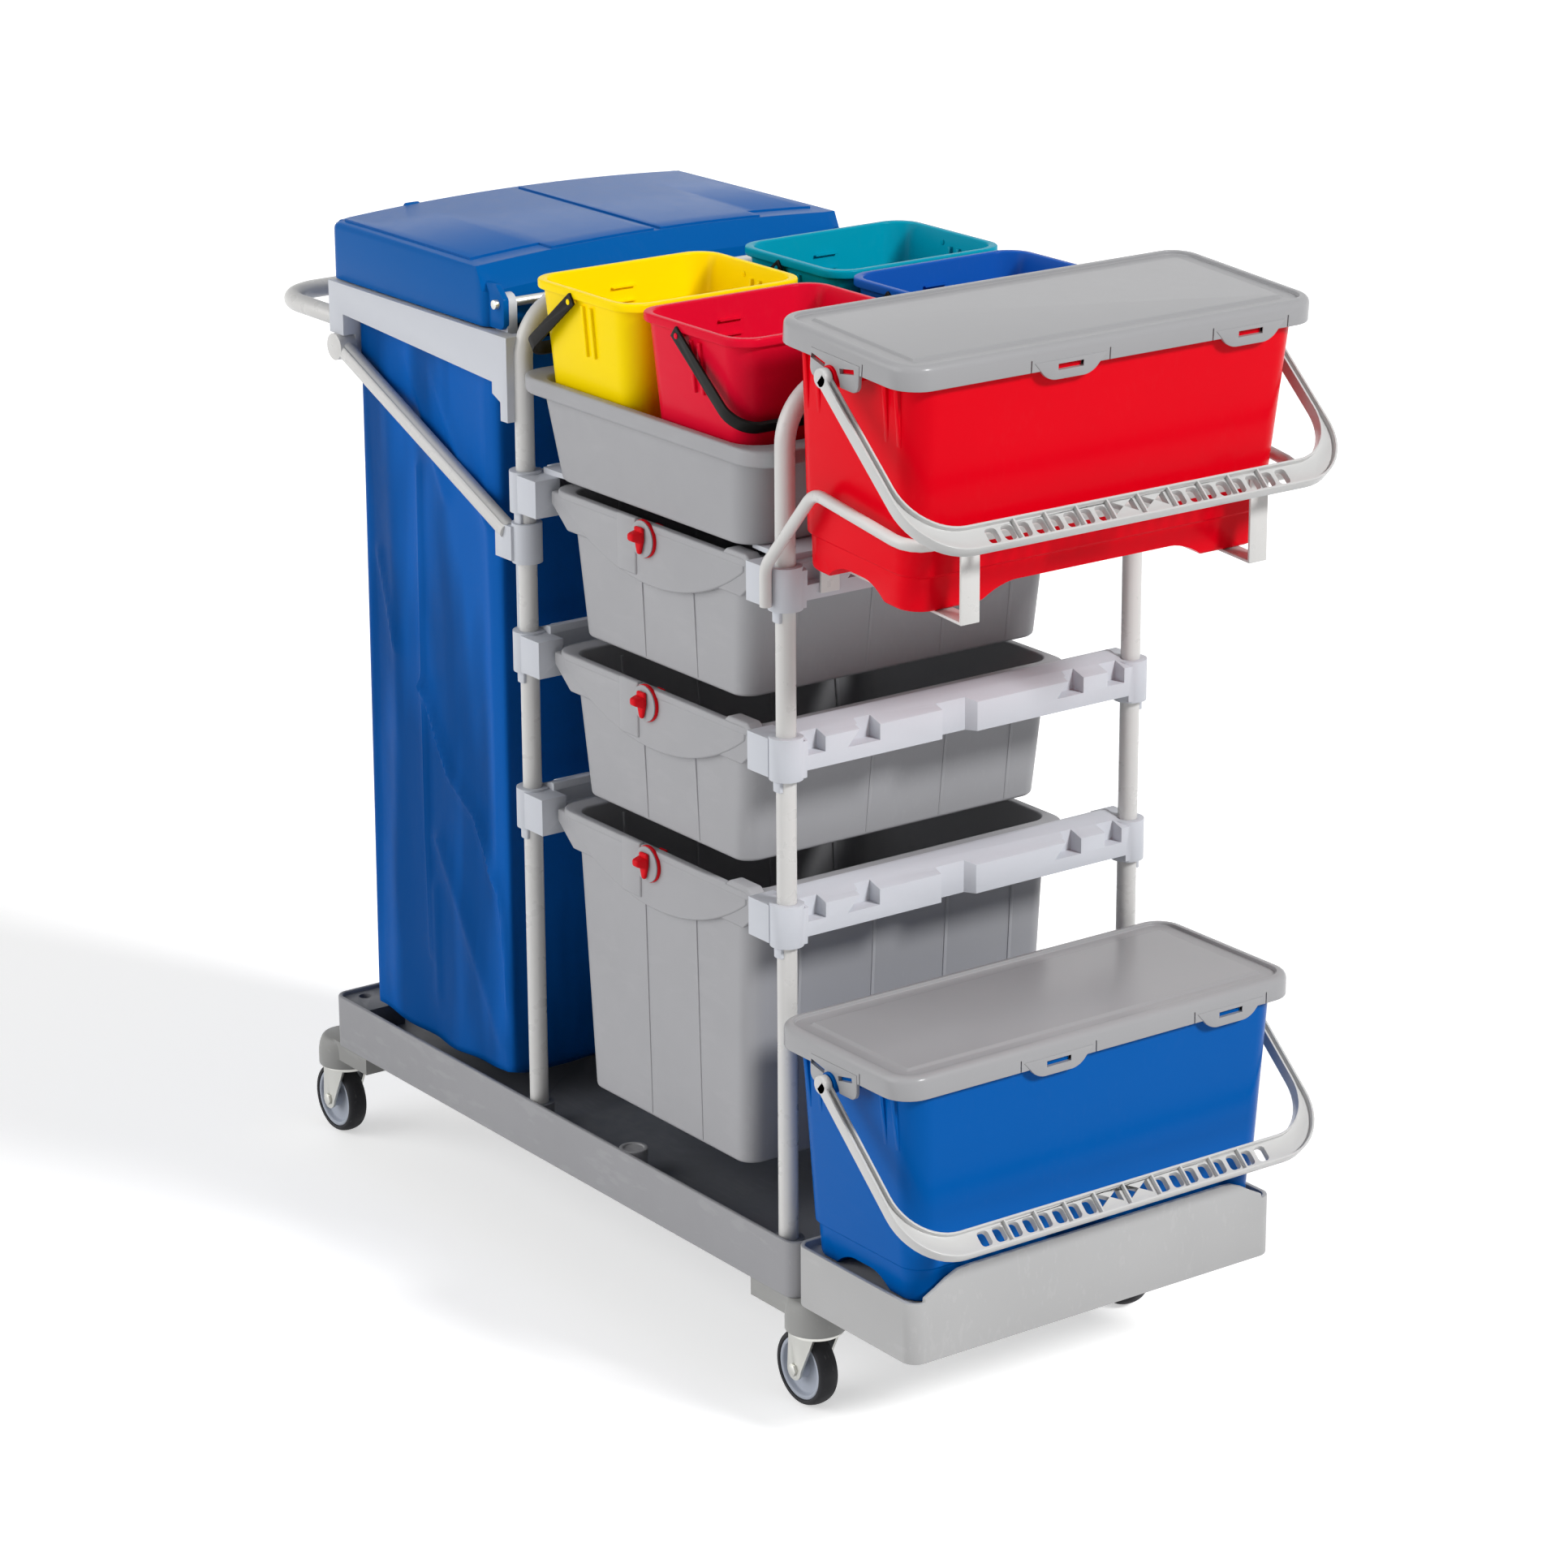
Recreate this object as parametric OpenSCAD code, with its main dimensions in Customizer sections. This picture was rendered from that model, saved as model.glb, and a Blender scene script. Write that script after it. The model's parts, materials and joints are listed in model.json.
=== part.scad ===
// Janitor cart: tube frame on a castor deck, with drawers, pails, waste bag and two large buckets.
// X runs from the push handle to the buckets, Z is up, the floor is at zero.

/* [Frame] */
// Distance between the two hoops
hoop_gap = 450; // [440:1:470]
// Distance between the two tubes of a hoop
hoop_w = 430; // [424:1:440]
// Height of a hoop's top bar above the deck rim
hoop_rise = 865; // [862:1:900]
// Bend radius at the top of a hoop
hoop_bend = 60; // [40:1:80]
// Tube diameter
tube_d = 20; // [18:0.5:21]
// Wall of every bent tube
tube_wall = 1.5; // [1:0.1:2.5]

/* [Deck] */
// Width of the deck and of the bucket platform
deck_w = 460; // [456:1:480]
// Height of the deck's rim above its underside
deck_h = 60; // [52:1:70]
// Reach of the deck behind the rear hoop
deck_back = 400; // [390:1:420]
// Reach of the deck in front of the front hoop
deck_front = 27; // [24:1:30]
// Wall of the deck and platform mouldings
deck_wall = 5; // [3:0.5:6]
// Depth of the deck's well below the rim
well_depth = 30; // [20:1:36]
// Corner radius of the deck
deck_r = 16; // [8:1:24]
// Diameter of the post sockets in the rear corners
socket_d = 14; // [10:0.5:18]
// Depth of the post sockets
socket_depth = 26; // [18:1:30]

/* [Platform] */
// Length of the bucket platform
platform_len = 191; // [188:1:205]
// Gap between the deck and the platform
platform_gap = 3; // [1:0.5:5]
// Rise of the front wall's middle over its corners
plateau_rise = 24; // [10:1:30]
// Height of the bucket's seat above the platform's underside
seat_h = 56; // [48:1:58]

/* [Castors] */
// Wheel diameter
wheel_d = 80; // [70:1:84]
// Wheel width
wheel_w = 22; // [18:1:26]
// Tread thickness of the tyre
tyre_t = 7; // [4:0.5:9]
// Axle diameter
axle_d = 8; // [6:0.5:10]
// Swivel stem diameter
stem_d = 12; // [10:0.5:14]
// Distance of the axle behind the swivel
trail = 14; // [8:1:20]
// Diameter of a castor housing
housing_d = 62; // [56:1:68]
// Height of a castor housing
housing_h = 34; // [28:1:40]
// Distance of the swivels from the deck's sides
castor_inset = 27; // [24:1:40]
// Reach of the rear swivels behind the deck
castor_reach = 21; // [10:1:24]

/* [Rails] */
// Height of the lowest rail above the deck rim
rail_first = 306; // [300:1:315]
// Height from one rail to the next
rail_pitch = 170; // [168:1:176]
// Height of a rail's lip and clamps
rail_h = 39; // [36:1:44]
// Rise of a rail's ridge over its lip
ridge_rise = 8; // [4:1:9]
// Reach of a rail's ledge towards the drawers
ledge_reach = 62; // [60:1:64]
// Height of the ledge's top above the rail's underside
ledge_h = 26; // [22:1:27]

/* [Drawers] */
// Width over a drawer's flange
flange_w = 358; // [350:1:360]
// Flange thickness
flange_t = 8; // [5:0.5:10]
// Width of a drawer's body at the top
drawer_w = 318; // [300:1:320]
// Length of a drawer's body
drawer_len = 383; // [366:1:388]
// Body depth of the two shallow drawers
shallow_d = 140; // [118:1:144]
// Body depth of the deep drawer
deep_d = 292; // [258:1:308]
// Drawer wall
drawer_wall = 3; // [2:0.5:4]
// Lock shaft diameter
lock_d = 8; // [6:0.5:10]

/* [Top tray] */
// Depth of the tray
tray_h = 104; // [95:1:106]
// Tray wall
tray_wall = 3; // [2:0.5:4]
// Height of the tray's rolled rim
tray_rim = 18; // [12:1:22]

/* [Pails] */
// Length of a pail's rim across the cart
pail_len = 219; // [210:1:219]
// Width of a pail's rim along the cart
pail_w = 178; // [172:1:178]
// Height of a pail
pail_h = 204; // [190:1:212]
// Pail wall
pail_wall = 2.5; // [2:0.5:3]
// Gap between the near and the far pails
pail_gap = 35; // [32:1:38]
// Reach of the bails at the bag end
bail_reach_rear = 106; // [102:1:107]
// Reach of the bails at the bucket end
bail_reach_front = 122; // [121:1:126]

/* [Bag end] */
// Length of the bag lid
lid_len = 332; // [326:1:345]
// Overhang of the bag lid over the hoop's tubes
lid_over = 13; // [11:0.5:16]
// Height of the lid's edge
lid_edge = 62; // [56:1:66]
// Crown of the lid over its edge
lid_crown = 9; // [4:1:12]
// Lid wall
lid_wall = 3; // [2:0.5:4]
// Hinge rod diameter
rod_d = 10; // [8:0.5:12]
// Length of the bag
bag_len = 272; // [262:1:284]
// Height of the bag's underside above the deck's well
bag_gap = 36; // [20:1:50]
// Reach of the push handle behind the rear hoop
handle_reach = 485; // [470:1:500]

/* [Buckets] */
// Length of a large bucket's lid
bucket_lid_len = 497; // [494:1:499]
// Width of a large bucket's lid
bucket_lid_w = 209; // [207:1:210]
// Height of a large bucket's body
bucket_h = 236; // [225:1:240]
// Bucket wall
bucket_wall = 3; // [2:0.5:4]
// Forward tip of the upper bucket in degrees
bucket_tip = 4; // [0:0.5:5]
// Distance from the handle's pivot to its grip
grip_arm = 196; // [190:1:205]
// Hang of the handles below level in degrees
handle_hang = 42; // [38:1:45]
// Diameter of the rack's tube
rack_d = 12; // [10:0.5:13]

/* [Hidden] */
$fn = 64;
eps = 0.01;
clear = 0.3;         // gap between pieces that move past each other
fit = 0.05;          // radial gap of a pin in its bore

// Heights
crown_gap = 4;       // wheel top to fork crown
crown_t = 3;         // fork sheet
crown_play = 1;      // crown to housing
deck_z = wheel_d + crown_gap + crown_t + crown_play + housing_h;
rim_z = deck_z + deck_h;
well_z = rim_z - well_depth;
floor_t = 4;         // deck floor sheet
seat_z = deck_z + seat_h;
function rail_z(level) = rim_z + rail_first + (3 - level) * rail_pitch;
hoop_top = rim_z + hoop_rise;

// Places along the cart, measured from the front hoop before centring
rear_x = -hoop_gap;
mid_x = -hoop_gap / 2;
deck_x0 = rear_x - deck_back;
deck_len = deck_back + hoop_gap + deck_front;
platform_x = deck_front + platform_gap;
tube_y = hoop_w / 2;
tube_r = tube_d / 2;
castor_y = deck_w / 2 - castor_inset;
castor_x = [deck_x0 - castor_reach, deck_front + platform_gap / 2];
SIDES = [-1, 1];

// Clamps and rails
ring_r = tube_r + 7;          // clamp ring round a tube
block_x = 42;                 // clamp block's reach towards the drawers
lip_x = 15;                   // face of a rail's lip
clamp_y = tube_y + ring_r;    // outer face of the clamps
beam_y = tube_y - tube_r - 2;  // end of the rails' beams and ledges
shelf_h = rail_h + ridge_rise;
shelf_reach = ledge_reach + 8;
notch_w = 20;                 // notches in a rail's lip

// Bucket and handle places
lid_back = lip_x + 4.5;       // back of the lower bucket's lid
bucket_x = lid_back + bucket_lid_w / 2;
bucket_lid_t = 9;             // lid plate above the body's rim
bucket_foot = [bucket_lid_w - 33, bucket_lid_len - 61];
bucket_top = [bucket_lid_w - 17, bucket_lid_len - 33];
pivot_x = -8;
pivot_z = bucket_h - 26;
pivot_d = 12;
boss_d = pivot_d + 10;
handle_y = bucket_lid_len / 2 + 4.5;  // inner face of a handle's arms
handle_t = 12;
arm_w = 9;
grip_w = 26;
grip_r = 60;
upper_z = rail_z(1) + 44;     // middle of the upper bucket's underside
upper_x = bucket_x - 12;
rack_y = clamp_y + rack_d / 2 + clear;
rack_x = upper_x + bucket_foot[0] / 2 + 24;

// Bag end
lid_w = hoop_w + 2 * lid_over;
hinge_x = rear_x - 34;
hinge_z = rim_z + 856;
lid_under = 26;               // lid edge below the hinge
arm_reach = bag_len + 59;
arm_x0 = rear_x - arm_reach;  // rear end of the bag frame's arms
arm_top = hinge_z - lid_under - 2;
arm_h = 32;
arm_y = lid_w / 2 + 6;        // outer face of the arms
arm_t = 16;
handle_d = tube_d;
handle_bend = hoop_bend - 5;
handle_y0 = arm_y - arm_t / 2 - 4;
handle_z = arm_top - 42;
lug_y = arm_y - arm_t - 8;    // inner face of the braces' lugs
brace_d = 17;
brace_eye = 26;
brace_x = arm_x0 - 4;
brace_y = arm_y - 6;
brace_top = handle_z - 28;
brace_foot = rail_z(1) - 22;
pin_d = 8;

// Overall length, and the shift that centres it
x_min = rear_x - handle_reach - handle_d / 2;
upper_pivot_x = upper_x + pivot_x * cos(bucket_tip) + pivot_z * sin(bucket_tip);
grip_reach = (grip_arm + grip_w / 2) * cos(handle_hang) + handle_t / 2 * sin(handle_hang);
x_max = max(bucket_x + pivot_x, upper_pivot_x) + grip_reach;
shift_x = -(x_min + x_max) / 2;

// Shared shapes

module centred() translate([shift_x, 0, 0]) children();

module both_sides() {
    children();
    mirror([0, 1, 0]) children();
}

// Flat rectangle with round corners, middle at the origin
module round_rect(size, r) {
    square([size[0] - 2 * r, size[1]], center = true);
    square([size[0], size[1] - 2 * r], center = true);
    for (sx = SIDES, sy = SIDES)
        translate([sx * (size[0] / 2 - r), sy * (size[1] / 2 - r)]) circle(r);
}

module slab(size, r, t) linear_extrude(t) round_rect(size, r);

module frame_ring(outer, inner, r, t, r_in) linear_extrude(t) difference() {
    round_rect(outer, r);
    round_rect(inner, r_in);
}

// Tapered block with round corners
module taper(foot, top, r, h) hull() {
    slab(foot, r, eps, $fn = 32);
    translate([0, 0, h - eps]) slab(top, r, eps, $fn = 32);
}

// Open tapered vessel
module vessel(foot, top, r, h, wall) difference() {
    taper(foot, top, r, h);
    translate([0, 0, wall])
        taper([for (s = foot) s - 2 * wall], [for (s = top) s - 2 * wall], r - wall, h);
}

// Plate drawn in the XZ plane, from y to y + t
module side_plate(y, t) translate([0, y + t, 0]) rotate([90, 0, 0]) linear_extrude(t) children();

module along_y(d, y0, y1) translate([0, y1, 0]) rotate([90, 0, 0]) cylinder(d = d, h = y1 - y0);

// Round bar from one point to another
module bar(a, b, d) {
    run = b - a;
    translate(a)
        rotate([0, acos(run[2] / norm(run)), atan2(run[1], run[0])])
            cylinder(d = d, h = norm(run));
}

function unit(v) = v / norm(v);

// Points of the bend of radius r at corner b, between the legs from a and to c
function bend_points(a, b, c, r, steps) = let (
    u = unit(b - a),
    v = unit(c - b),
    n = unit(v - (v * u) * u),
    turn = acos(u * v),
    centre = b - u * r * tan(turn / 2) + n * r)
    [for (k = [0 : steps]) centre - n * r * cos(turn * k / steps) + u * r * sin(turn * k / steps)];

function bent_path(points, r, steps) = let (last = len(points) - 1) concat(
    [points[0]],
    [for (i = [1 : last - 1]) each bend_points(points[i - 1], points[i], points[i + 1], r, steps)],
    [points[last]]);

// Round bar through the points, with a bend of radius r at each corner
module bent_bar(points, d, r) {
    sides = 16;
    path = bent_path(points, r, 4);
    last = len(path) - 1;
    lean = [-0.5, 0.5, 0.7];
    rings = [for (i = [0 : last]) let (
        t = unit(path[min(i + 1, last)] - path[max(i - 1, 0)]),
        e = unit(cross(lean, t)),
        f = cross(t, e))
        for (k = [0 : sides - 1]) path[i] + d / 2 * (cos(360 * k / sides) * e + sin(360 * k / sides) * f)];
    polyhedron(rings, concat(
        [[for (k = [0 : sides - 1]) k]],
        [for (i = [0 : last - 1], k = [0 : sides - 1]) let (m = (k + 1) % sides)
            each [[i * sides + k, (i + 1) * sides + k, (i + 1) * sides + m],
                  [i * sides + k, (i + 1) * sides + m, i * sides + m]]],
        [[for (k = [sides - 1 : -1 : 0]) last * sides + k]]));
}

// Inverted U of tube: two legs, two bends and a top bar, in the YZ plane
module u_tube(d, half, foot, top, bend) {
    both_sides() {
        translate([0, half, foot]) cylinder(d = d, h = top - bend - foot);
        translate([0, half - bend, top - bend])
            rotate([90, 0, 90])
                rotate_extrude(angle = 90) translate([bend, 0]) circle(d = d);
    }
    translate([0, 0, top]) along_y(d, -(half - bend), half - bend);
}

module hollow_u(d, half, foot, top, bend) difference() {
    u_tube(d, half, foot, top, bend);
    u_tube(d - 2 * tube_wall, half, foot - eps, top, bend);
}

// Deck and platform

corner_block = [62, 56];
post_x = deck_x0 + 20;
post_y = deck_w / 2 - 30;
boss_r = tube_r + 6;

module deck_plan(inset) translate([deck_x0 + deck_len / 2, 0])
    round_rect([deck_len - 2 * inset, deck_w - 2 * inset], max(deck_r - inset, 2));

// Outline of the block reaching from x along the cart, in the corner on side sy
module corner_plan(x, sy, grow) {
    y = sy > 0 ? deck_w / 2 - corner_block[1] : -deck_w / 2;
    translate([x - grow, y - grow]) square([for (c = corner_block) c + 2 * grow]);
}

// The places of the hoops' four feet
module at_feet() for (x = [rear_x, 0], sy = SIDES) translate([x, sy * tube_y]) children();

// Hairlines between the rim's four straight walls and its four corners
module rim_joints() {
    for (x = [deck_x0 + deck_r, deck_front - deck_r]) translate([x, -deck_w / 2 - 1])
        square([clear, deck_w + 2]);
    for (sy = SIDES) translate([deck_x0 - 1, sy * (deck_w / 2 - deck_r)]) square([deck_len + 2, clear]);
}

// A rim, a floor panel let into it, and corner blocks under the panel that carry the castors
module base_deck() color("gray") centred() translate([0, 0, deck_z]) {
    under_h = deck_h - well_depth - floor_t;
    linear_extrude(deck_h) difference() {
        deck_plan(0);
        deck_plan(deck_wall);
        rim_joints();
    }
    translate([0, 0, under_h]) linear_extrude(floor_t) difference() {
        deck_plan(deck_wall + clear);
        for (sy = SIDES) corner_plan(deck_x0, sy, clear);
        at_feet() circle(boss_r + clear);
    }
    linear_extrude(under_h - clear) intersection() {
        deck_plan(deck_wall + clear);
        for (x = [deck_x0, deck_front - corner_block[0]], sy = SIDES) corner_plan(x, sy, 0);
    }
}

// Sockets let into the deck's floor: two for posts in the rear corners, four for the hoops' feet
module deck_sockets() color("dimgray") centred() translate([0, 0, well_z - floor_t]) difference() {
    linear_extrude(floor_t + socket_depth) intersection() {
        deck_plan(deck_wall + clear);
        union() {
            for (sy = SIDES) corner_plan(deck_x0, sy, 0);
            at_feet() circle(boss_r);
        }
    }
    translate([0, 0, floor_t]) linear_extrude(deck_h) {
        for (sy = SIDES) translate([post_x, sy * post_y]) circle(d = socket_d);
        at_feet() circle(tube_r + fit);
    }
}

// Height of the platform's front wall over its seat side, an eased rise from each corner to the middle
rise_start = 65;
rise_len = 62;
function ease(t) = (1 - cos(180 * min(max(t, 0), 1))) / 2;
function wall_top(y) = deck_h + 6
    + plateau_rise * ease((deck_w / 2 - rise_start + rise_len - abs(y)) / rise_len);

module platform_plan(inset) translate([platform_x + platform_len / 2, 0])
    round_rect([platform_len - 2 * inset, deck_w - 2 * inset], max(deck_r - inset, 2));

module bucket_platform() color("silver") centred() translate([0, 0, deck_z]) {
    steps = 32;
    wall_y = deck_w / 2 - deck_r;
    difference() {
        linear_extrude(deck_h + 4) platform_plan(0);
        translate([0, 0, seat_h]) linear_extrude(deck_h) platform_plan(deck_wall);
        translate([0, 0, -eps]) linear_extrude(seat_h - floor_t + eps) platform_plan(deck_wall);
    }
    translate([platform_x + platform_len - deck_wall, 0, 0])
        rotate([90, 0, 90]) linear_extrude(deck_wall) polygon(concat(
            [[wall_y, deck_h], [-wall_y, deck_h]],
            [for (i = [0 : steps]) let (y = -wall_y + 2 * wall_y * i / steps) [y, wall_top(y)]]));
}

// Castors

axle_z = wheel_d / 2;
crown_z = wheel_d + crown_gap;
housing_z = deck_z - housing_h;
leg_y = wheel_w / 2 + 3;
foot_arm = [80, 44];          // housing's arm under the deck
foot_arm_rise = 12;
roof_t = 6;                   // housing above the stem
brim = housing_h * 0.35;
shoulder = 8;

module castor_at(i, sy) translate([castor_x[i], sy * castor_y, 0]) children();

module castor_housing(inward) difference() {
    union() {
        translate([0, 0, housing_z]) rotate_extrude() polygon(concat(
            [[0, 0], [housing_d / 2, 0]],
            [for (a = [0 : 15 : 75])
                [housing_d / 2 - shoulder * (1 - cos(a)), brim + (housing_h - brim) * sin(a)]],
            [[housing_d / 2 - shoulder, housing_h], [0, housing_h]]));
        translate([inward > 0 ? 0 : -foot_arm[0], -foot_arm[1] / 2, housing_z + foot_arm_rise])
            cube([foot_arm[0], foot_arm[1], housing_h - foot_arm_rise]);
    }
    translate([0, 0, housing_z - eps]) cylinder(d = stem_d + 2 * fit, h = housing_h - roof_t);
}

module castor_housings() color("dimgray") centred()
    for (i = [0, 1], sy = SIDES) castor_at(i, sy) castor_housing(i == 0 ? 1 : -1);

fork_r = housing_d / 2 - 3;
eye_r = axle_d / 2 + 7;
nut_d = axle_d + 5;
nut_h = 3;

module castor_fork(i, sy) color("silver") centred() castor_at(i, sy) {
    translate([0, 0, crown_z]) cylinder(r = fork_r, h = crown_t);
    translate([0, 0, crown_z]) cylinder(d = stem_d, h = crown_t + crown_play + housing_h - roof_t - 2);
    both_sides() difference() {
        side_plate(leg_y, crown_t) {
            polygon([[-trail - eye_r, axle_z], [-trail + eye_r, axle_z],
                     [fork_r * 0.7, crown_z + crown_t / 2], [-fork_r * 0.8, crown_z + crown_t / 2]]);
            translate([-trail, axle_z]) circle(eye_r);
        }
        translate([-trail, 0, axle_z]) along_y(axle_d + 2 * fit, 0, leg_y + 2 * crown_t);
    }
}

module castor_axle(i, sy) color("gainsboro") centred() castor_at(i, sy) translate([-trail, 0, axle_z]) {
    end_y = leg_y + crown_t + clear / 3;
    along_y(axle_d, -end_y, end_y);
    both_sides() translate([0, end_y + nut_h, 0]) rotate([90, 0, 0]) cylinder(d = nut_d, h = nut_h, $fn = 6);
}

module wheel_at(i, sy) centred() castor_at(i, sy)
    translate([-trail, 0, axle_z]) rotate([90, 0, 0]) children();

hub_r = wheel_d / 2 - tyre_t;
hub_rim = 4;
hub_boss = 5;
hub_draft = 2;
tyre_crown = 4;

module wheel_hub(i, sy) color("lightsteelblue") wheel_at(i, sy) rotate_extrude() {
    bore_r = axle_d / 2 + fit;
    end = leg_y - 1;
    face = wheel_w / 2 - 1;
    web = 4;
    boss = bore_r + hub_boss;
    rim = hub_r - hub_rim;
    polygon([[bore_r, -end], [boss, -end], [boss + hub_draft / 2, -web], [rim - hub_draft, -web],
             [rim, -face], [hub_r, -face], [hub_r, face], [rim, face],
             [rim - hub_draft, web], [boss + hub_draft / 2, web], [boss, end], [bore_r, end]]);
}

module tyre(i, sy) color("dimgray") wheel_at(i, sy) rotate_extrude() {
    inner = hub_r + fit;
    shoulder = wheel_d / 2 - tyre_crown;
    polygon(concat(
        [[inner, -wheel_w / 2], [shoulder, -wheel_w / 2]],
        [for (a = [-75 : 15 : 75]) [shoulder + tyre_crown * cos(a), wheel_w / 2 * sin(a)]],
        [[shoulder, wheel_w / 2], [inner, wheel_w / 2]]));
}

// Hoops

module hoop(x) color("gainsboro") centred() translate([x, 0, 0])
    hollow_u(tube_d, tube_y, well_z, hoop_top, hoop_bend);

// Rails. Local x points away from the drawers, with the tube's axis at zero

beam_foot = 9;                // underside of the beam above the clamps' foot
beam_crown = 2;               // top of the beam over its lip
ridge_x = [-16, -22];         // ridge behind the lip
ledge_t = 6;
shelf_t = 4;
shelf_x = -15;
clamp_rise = 4;               // clamp rings over the lip
notch_in = 8;
notch_h = 14;
notch_ends = [-0.96, 0.88];   // notches by the clamps, as shares of the beam
notch_mids = [-0.68, 0.6];

module rail_section(level) {
    ridge = rail_h + beam_crown + (level == 1 ? 0 : ridge_rise);
    polygon([[lip_x, beam_foot], [lip_x, rail_h], [beam_foot, rail_h + beam_crown], [ridge_x[0], ridge],
             [ridge_x[1], ridge], [ridge_x[1], ledge_h], [-ledge_reach, ledge_h],
             [-ledge_reach, ledge_h - ledge_t], [ridge_x[1] + 2, ledge_h - ledge_t], [-12, beam_foot]]);
    if (level == 1) polygon([[shelf_x, rail_h + 1], [-shelf_reach, shelf_h - shelf_t],
                             [-shelf_reach, shelf_h], [shelf_x, shelf_h]]);
}

module rail(level) translate([0, 0, rail_z(level)]) difference() {
    step_y = beam_y * 0.18;
    union() {
        side_plate(-beam_y, 2 * beam_y) rail_section(level);
        both_sides() {
            translate([0, tube_y, 0]) cylinder(r = ring_r, h = rail_h + clamp_rise);
            translate([-block_x, beam_y - 2, 2]) cube([block_x - tube_r + 2, clamp_y - beam_y + 1, rail_h]);
            translate([-block_x, beam_y - 2, 2]) cube([block_x + lip_x, 10, rail_h - 2]);
        }
    }
    for (sy = SIDES) translate([0, sy * tube_y, -1]) cylinder(r = tube_r + fit, h = rail_h + 2 * clamp_rise);
    // gap between the two halves of the lip, and the notches
    translate([lip_x - notch_in, -step_y, beam_foot - 1]) cube([lip_x, notch_w, rail_h]);
    for (y = notch_mids) translate([lip_x - notch_in, y * beam_y, rail_h - notch_h])
        cube([lip_x, notch_w, rail_h]);
    for (y = notch_ends) translate([lip_x - notch_in, y * beam_y, rail_h - notch_h])
        cube([lip_x, notch_w - 4, rail_h]);
}

module front_rail(level) color("lightsteelblue") centred() rail(level);
module rear_rail(level) color("lightsteelblue") centred()
    translate([rear_x, 0, 0]) mirror([1, 0, 0]) rail(level);

clip_h = 12;
clip_w = 12;
clip_t = 3;
module rail_clips() color("gainsboro") centred()
    for (x = [rear_x, 0], level = [1 : 3], sy = SIDES) translate([x, sy * tube_y, rail_z(level) - clip_h])
        difference() {
            intersection() {
                cylinder(r = tube_r + clip_t, h = clip_h);
                translate([0, sy * tube_r, clip_h / 2]) cube([clip_w, 2 * tube_r, clip_h], center = true);
            }
            translate([0, 0, -1]) cylinder(r = tube_r + fit, h = clip_h + 2);
        }

// Top tray

tray_z = rail_z(1) + shelf_h;
tray_end = 55;                // tray foot to the hoops
tray_flare = [16, 10];        // widening of each side from foot to top
tray_over = 4;                // tray foot over the hoop's tubes
tray_foot = [hoop_gap - 2 * tray_end, hoop_w + 2 * tray_over];
tray_top = tray_foot + 2 * tray_flare;
tray_rim_size = [hoop_gap - tube_d - 4, tray_top[1] + 16];
tray_r = 32;
tray_rim_r = tray_r + 8;

module top_tray() color("darkgray") centred() translate([mid_x, 0, tray_z]) {
    vessel(tray_foot, tray_top, tray_r, tray_h, tray_wall);
    translate([0, 0, tray_h - tray_rim]) difference() {
        frame_ring(tray_rim_size, [for (s = tray_top) s - 1], tray_rim_r, tray_rim, tray_r);
        translate([0, 0, -1])
            frame_ring([for (s = tray_rim_size) s - 2 * tray_wall], tray_top, tray_rim_r - tray_wall,
                       tray_rim - tray_wall + 1, tray_r);
    }
}

// Pails

pail_z = tray_z + tray_wall + clear;
pail_pitch = pail_w + 8;
pail_rim = 5;
pail_rim_h = 10;
pail_top = [pail_w - 2 * pail_rim, pail_len - 2 * pail_rim];
pail_foot = [pail_w - 34, pail_len - 44];
pail_r = tray_r - tray_wall - 2;
bail_z = pail_h - 12;
bail_x = -11;
bail_pin = 6;
bail_t = 2.5;
bail_w = 13;
bail_hang = 38;
bail_reach = [bail_reach_rear, bail_reach_front];
bail_bow = [24, 28];
pail_y = (pail_len + pail_gap) / 2;

// Column 0 stands at the bag, column 1 at the buckets
module pail_at(column, sy) centred()
    translate([mid_x + (column - 0.5) * pail_pitch, sy * pail_y, pail_z]) children();

module pail(column, sy, paint) color(paint) pail_at(column, sy) {
    vessel(pail_foot, pail_top, pail_r, pail_h, pail_wall);
    translate([0, 0, pail_h - pail_rim_h])
        frame_ring([pail_w, pail_len], [for (s = pail_top) s - 2 * pail_wall], pail_r + pail_rim,
                   pail_rim_h, pail_r - pail_wall);
    for (s = SIDES) translate([bail_x, 0, bail_z])
        along_y(bail_pin, s > 0 ? pail_top[1] / 2 - 6 : -pail_len / 2 - bail_t - 1,
                s > 0 ? pail_len / 2 + bail_t + 1 : 6 - pail_top[1] / 2);
}

// Flat U strip lying along +X from its pivot
module strip_u(reach, half, t, w, r, grip) translate([0, 0, -w / 2]) linear_extrude(w) difference() {
    intersection() {
        round_rect([2 * (reach + grip / 2), 2 * (half + t)], r + t);
        translate([-w / 2, -half - t - 1]) square([reach + grip + w, 2 * (half + t + 1)]);
    }
    round_rect([2 * (reach - grip / 2), 2 * half], r);
}

module bail(column, sy) color("black") pail_at(column, sy) translate([bail_x, 0, bail_z])
    rotate([0, bail_hang, column == 0 ? 180 : 0]) difference() {
        strip_u(bail_reach[column], pail_len / 2 + clear, bail_t, bail_w, bail_bow[column], 4);
        along_y(bail_pin + 2 * fit, -pail_len, pail_len);
    }

// Drawers

drawer_y0 = -tube_y + 4;
drawer_foot = [drawer_w - 34, drawer_len - 12];
drawer_r = 22;
flange_over = 6;              // flange beyond the walls at its ends
flange_r = 10;
flange_in = 4;
pad_t = flange_over;
pad_h = 56;
ear_h = 8;
ear_drop = 30;
ear_t = -drawer_y0 - beam_y - clear;
lock_x = -8;
lock_drop = 8;
function flange_z(level) = rail_z(level) + ledge_h + clear;
function drawer_depth(level) = level == 3 ? deep_d : shallow_d;

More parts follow.
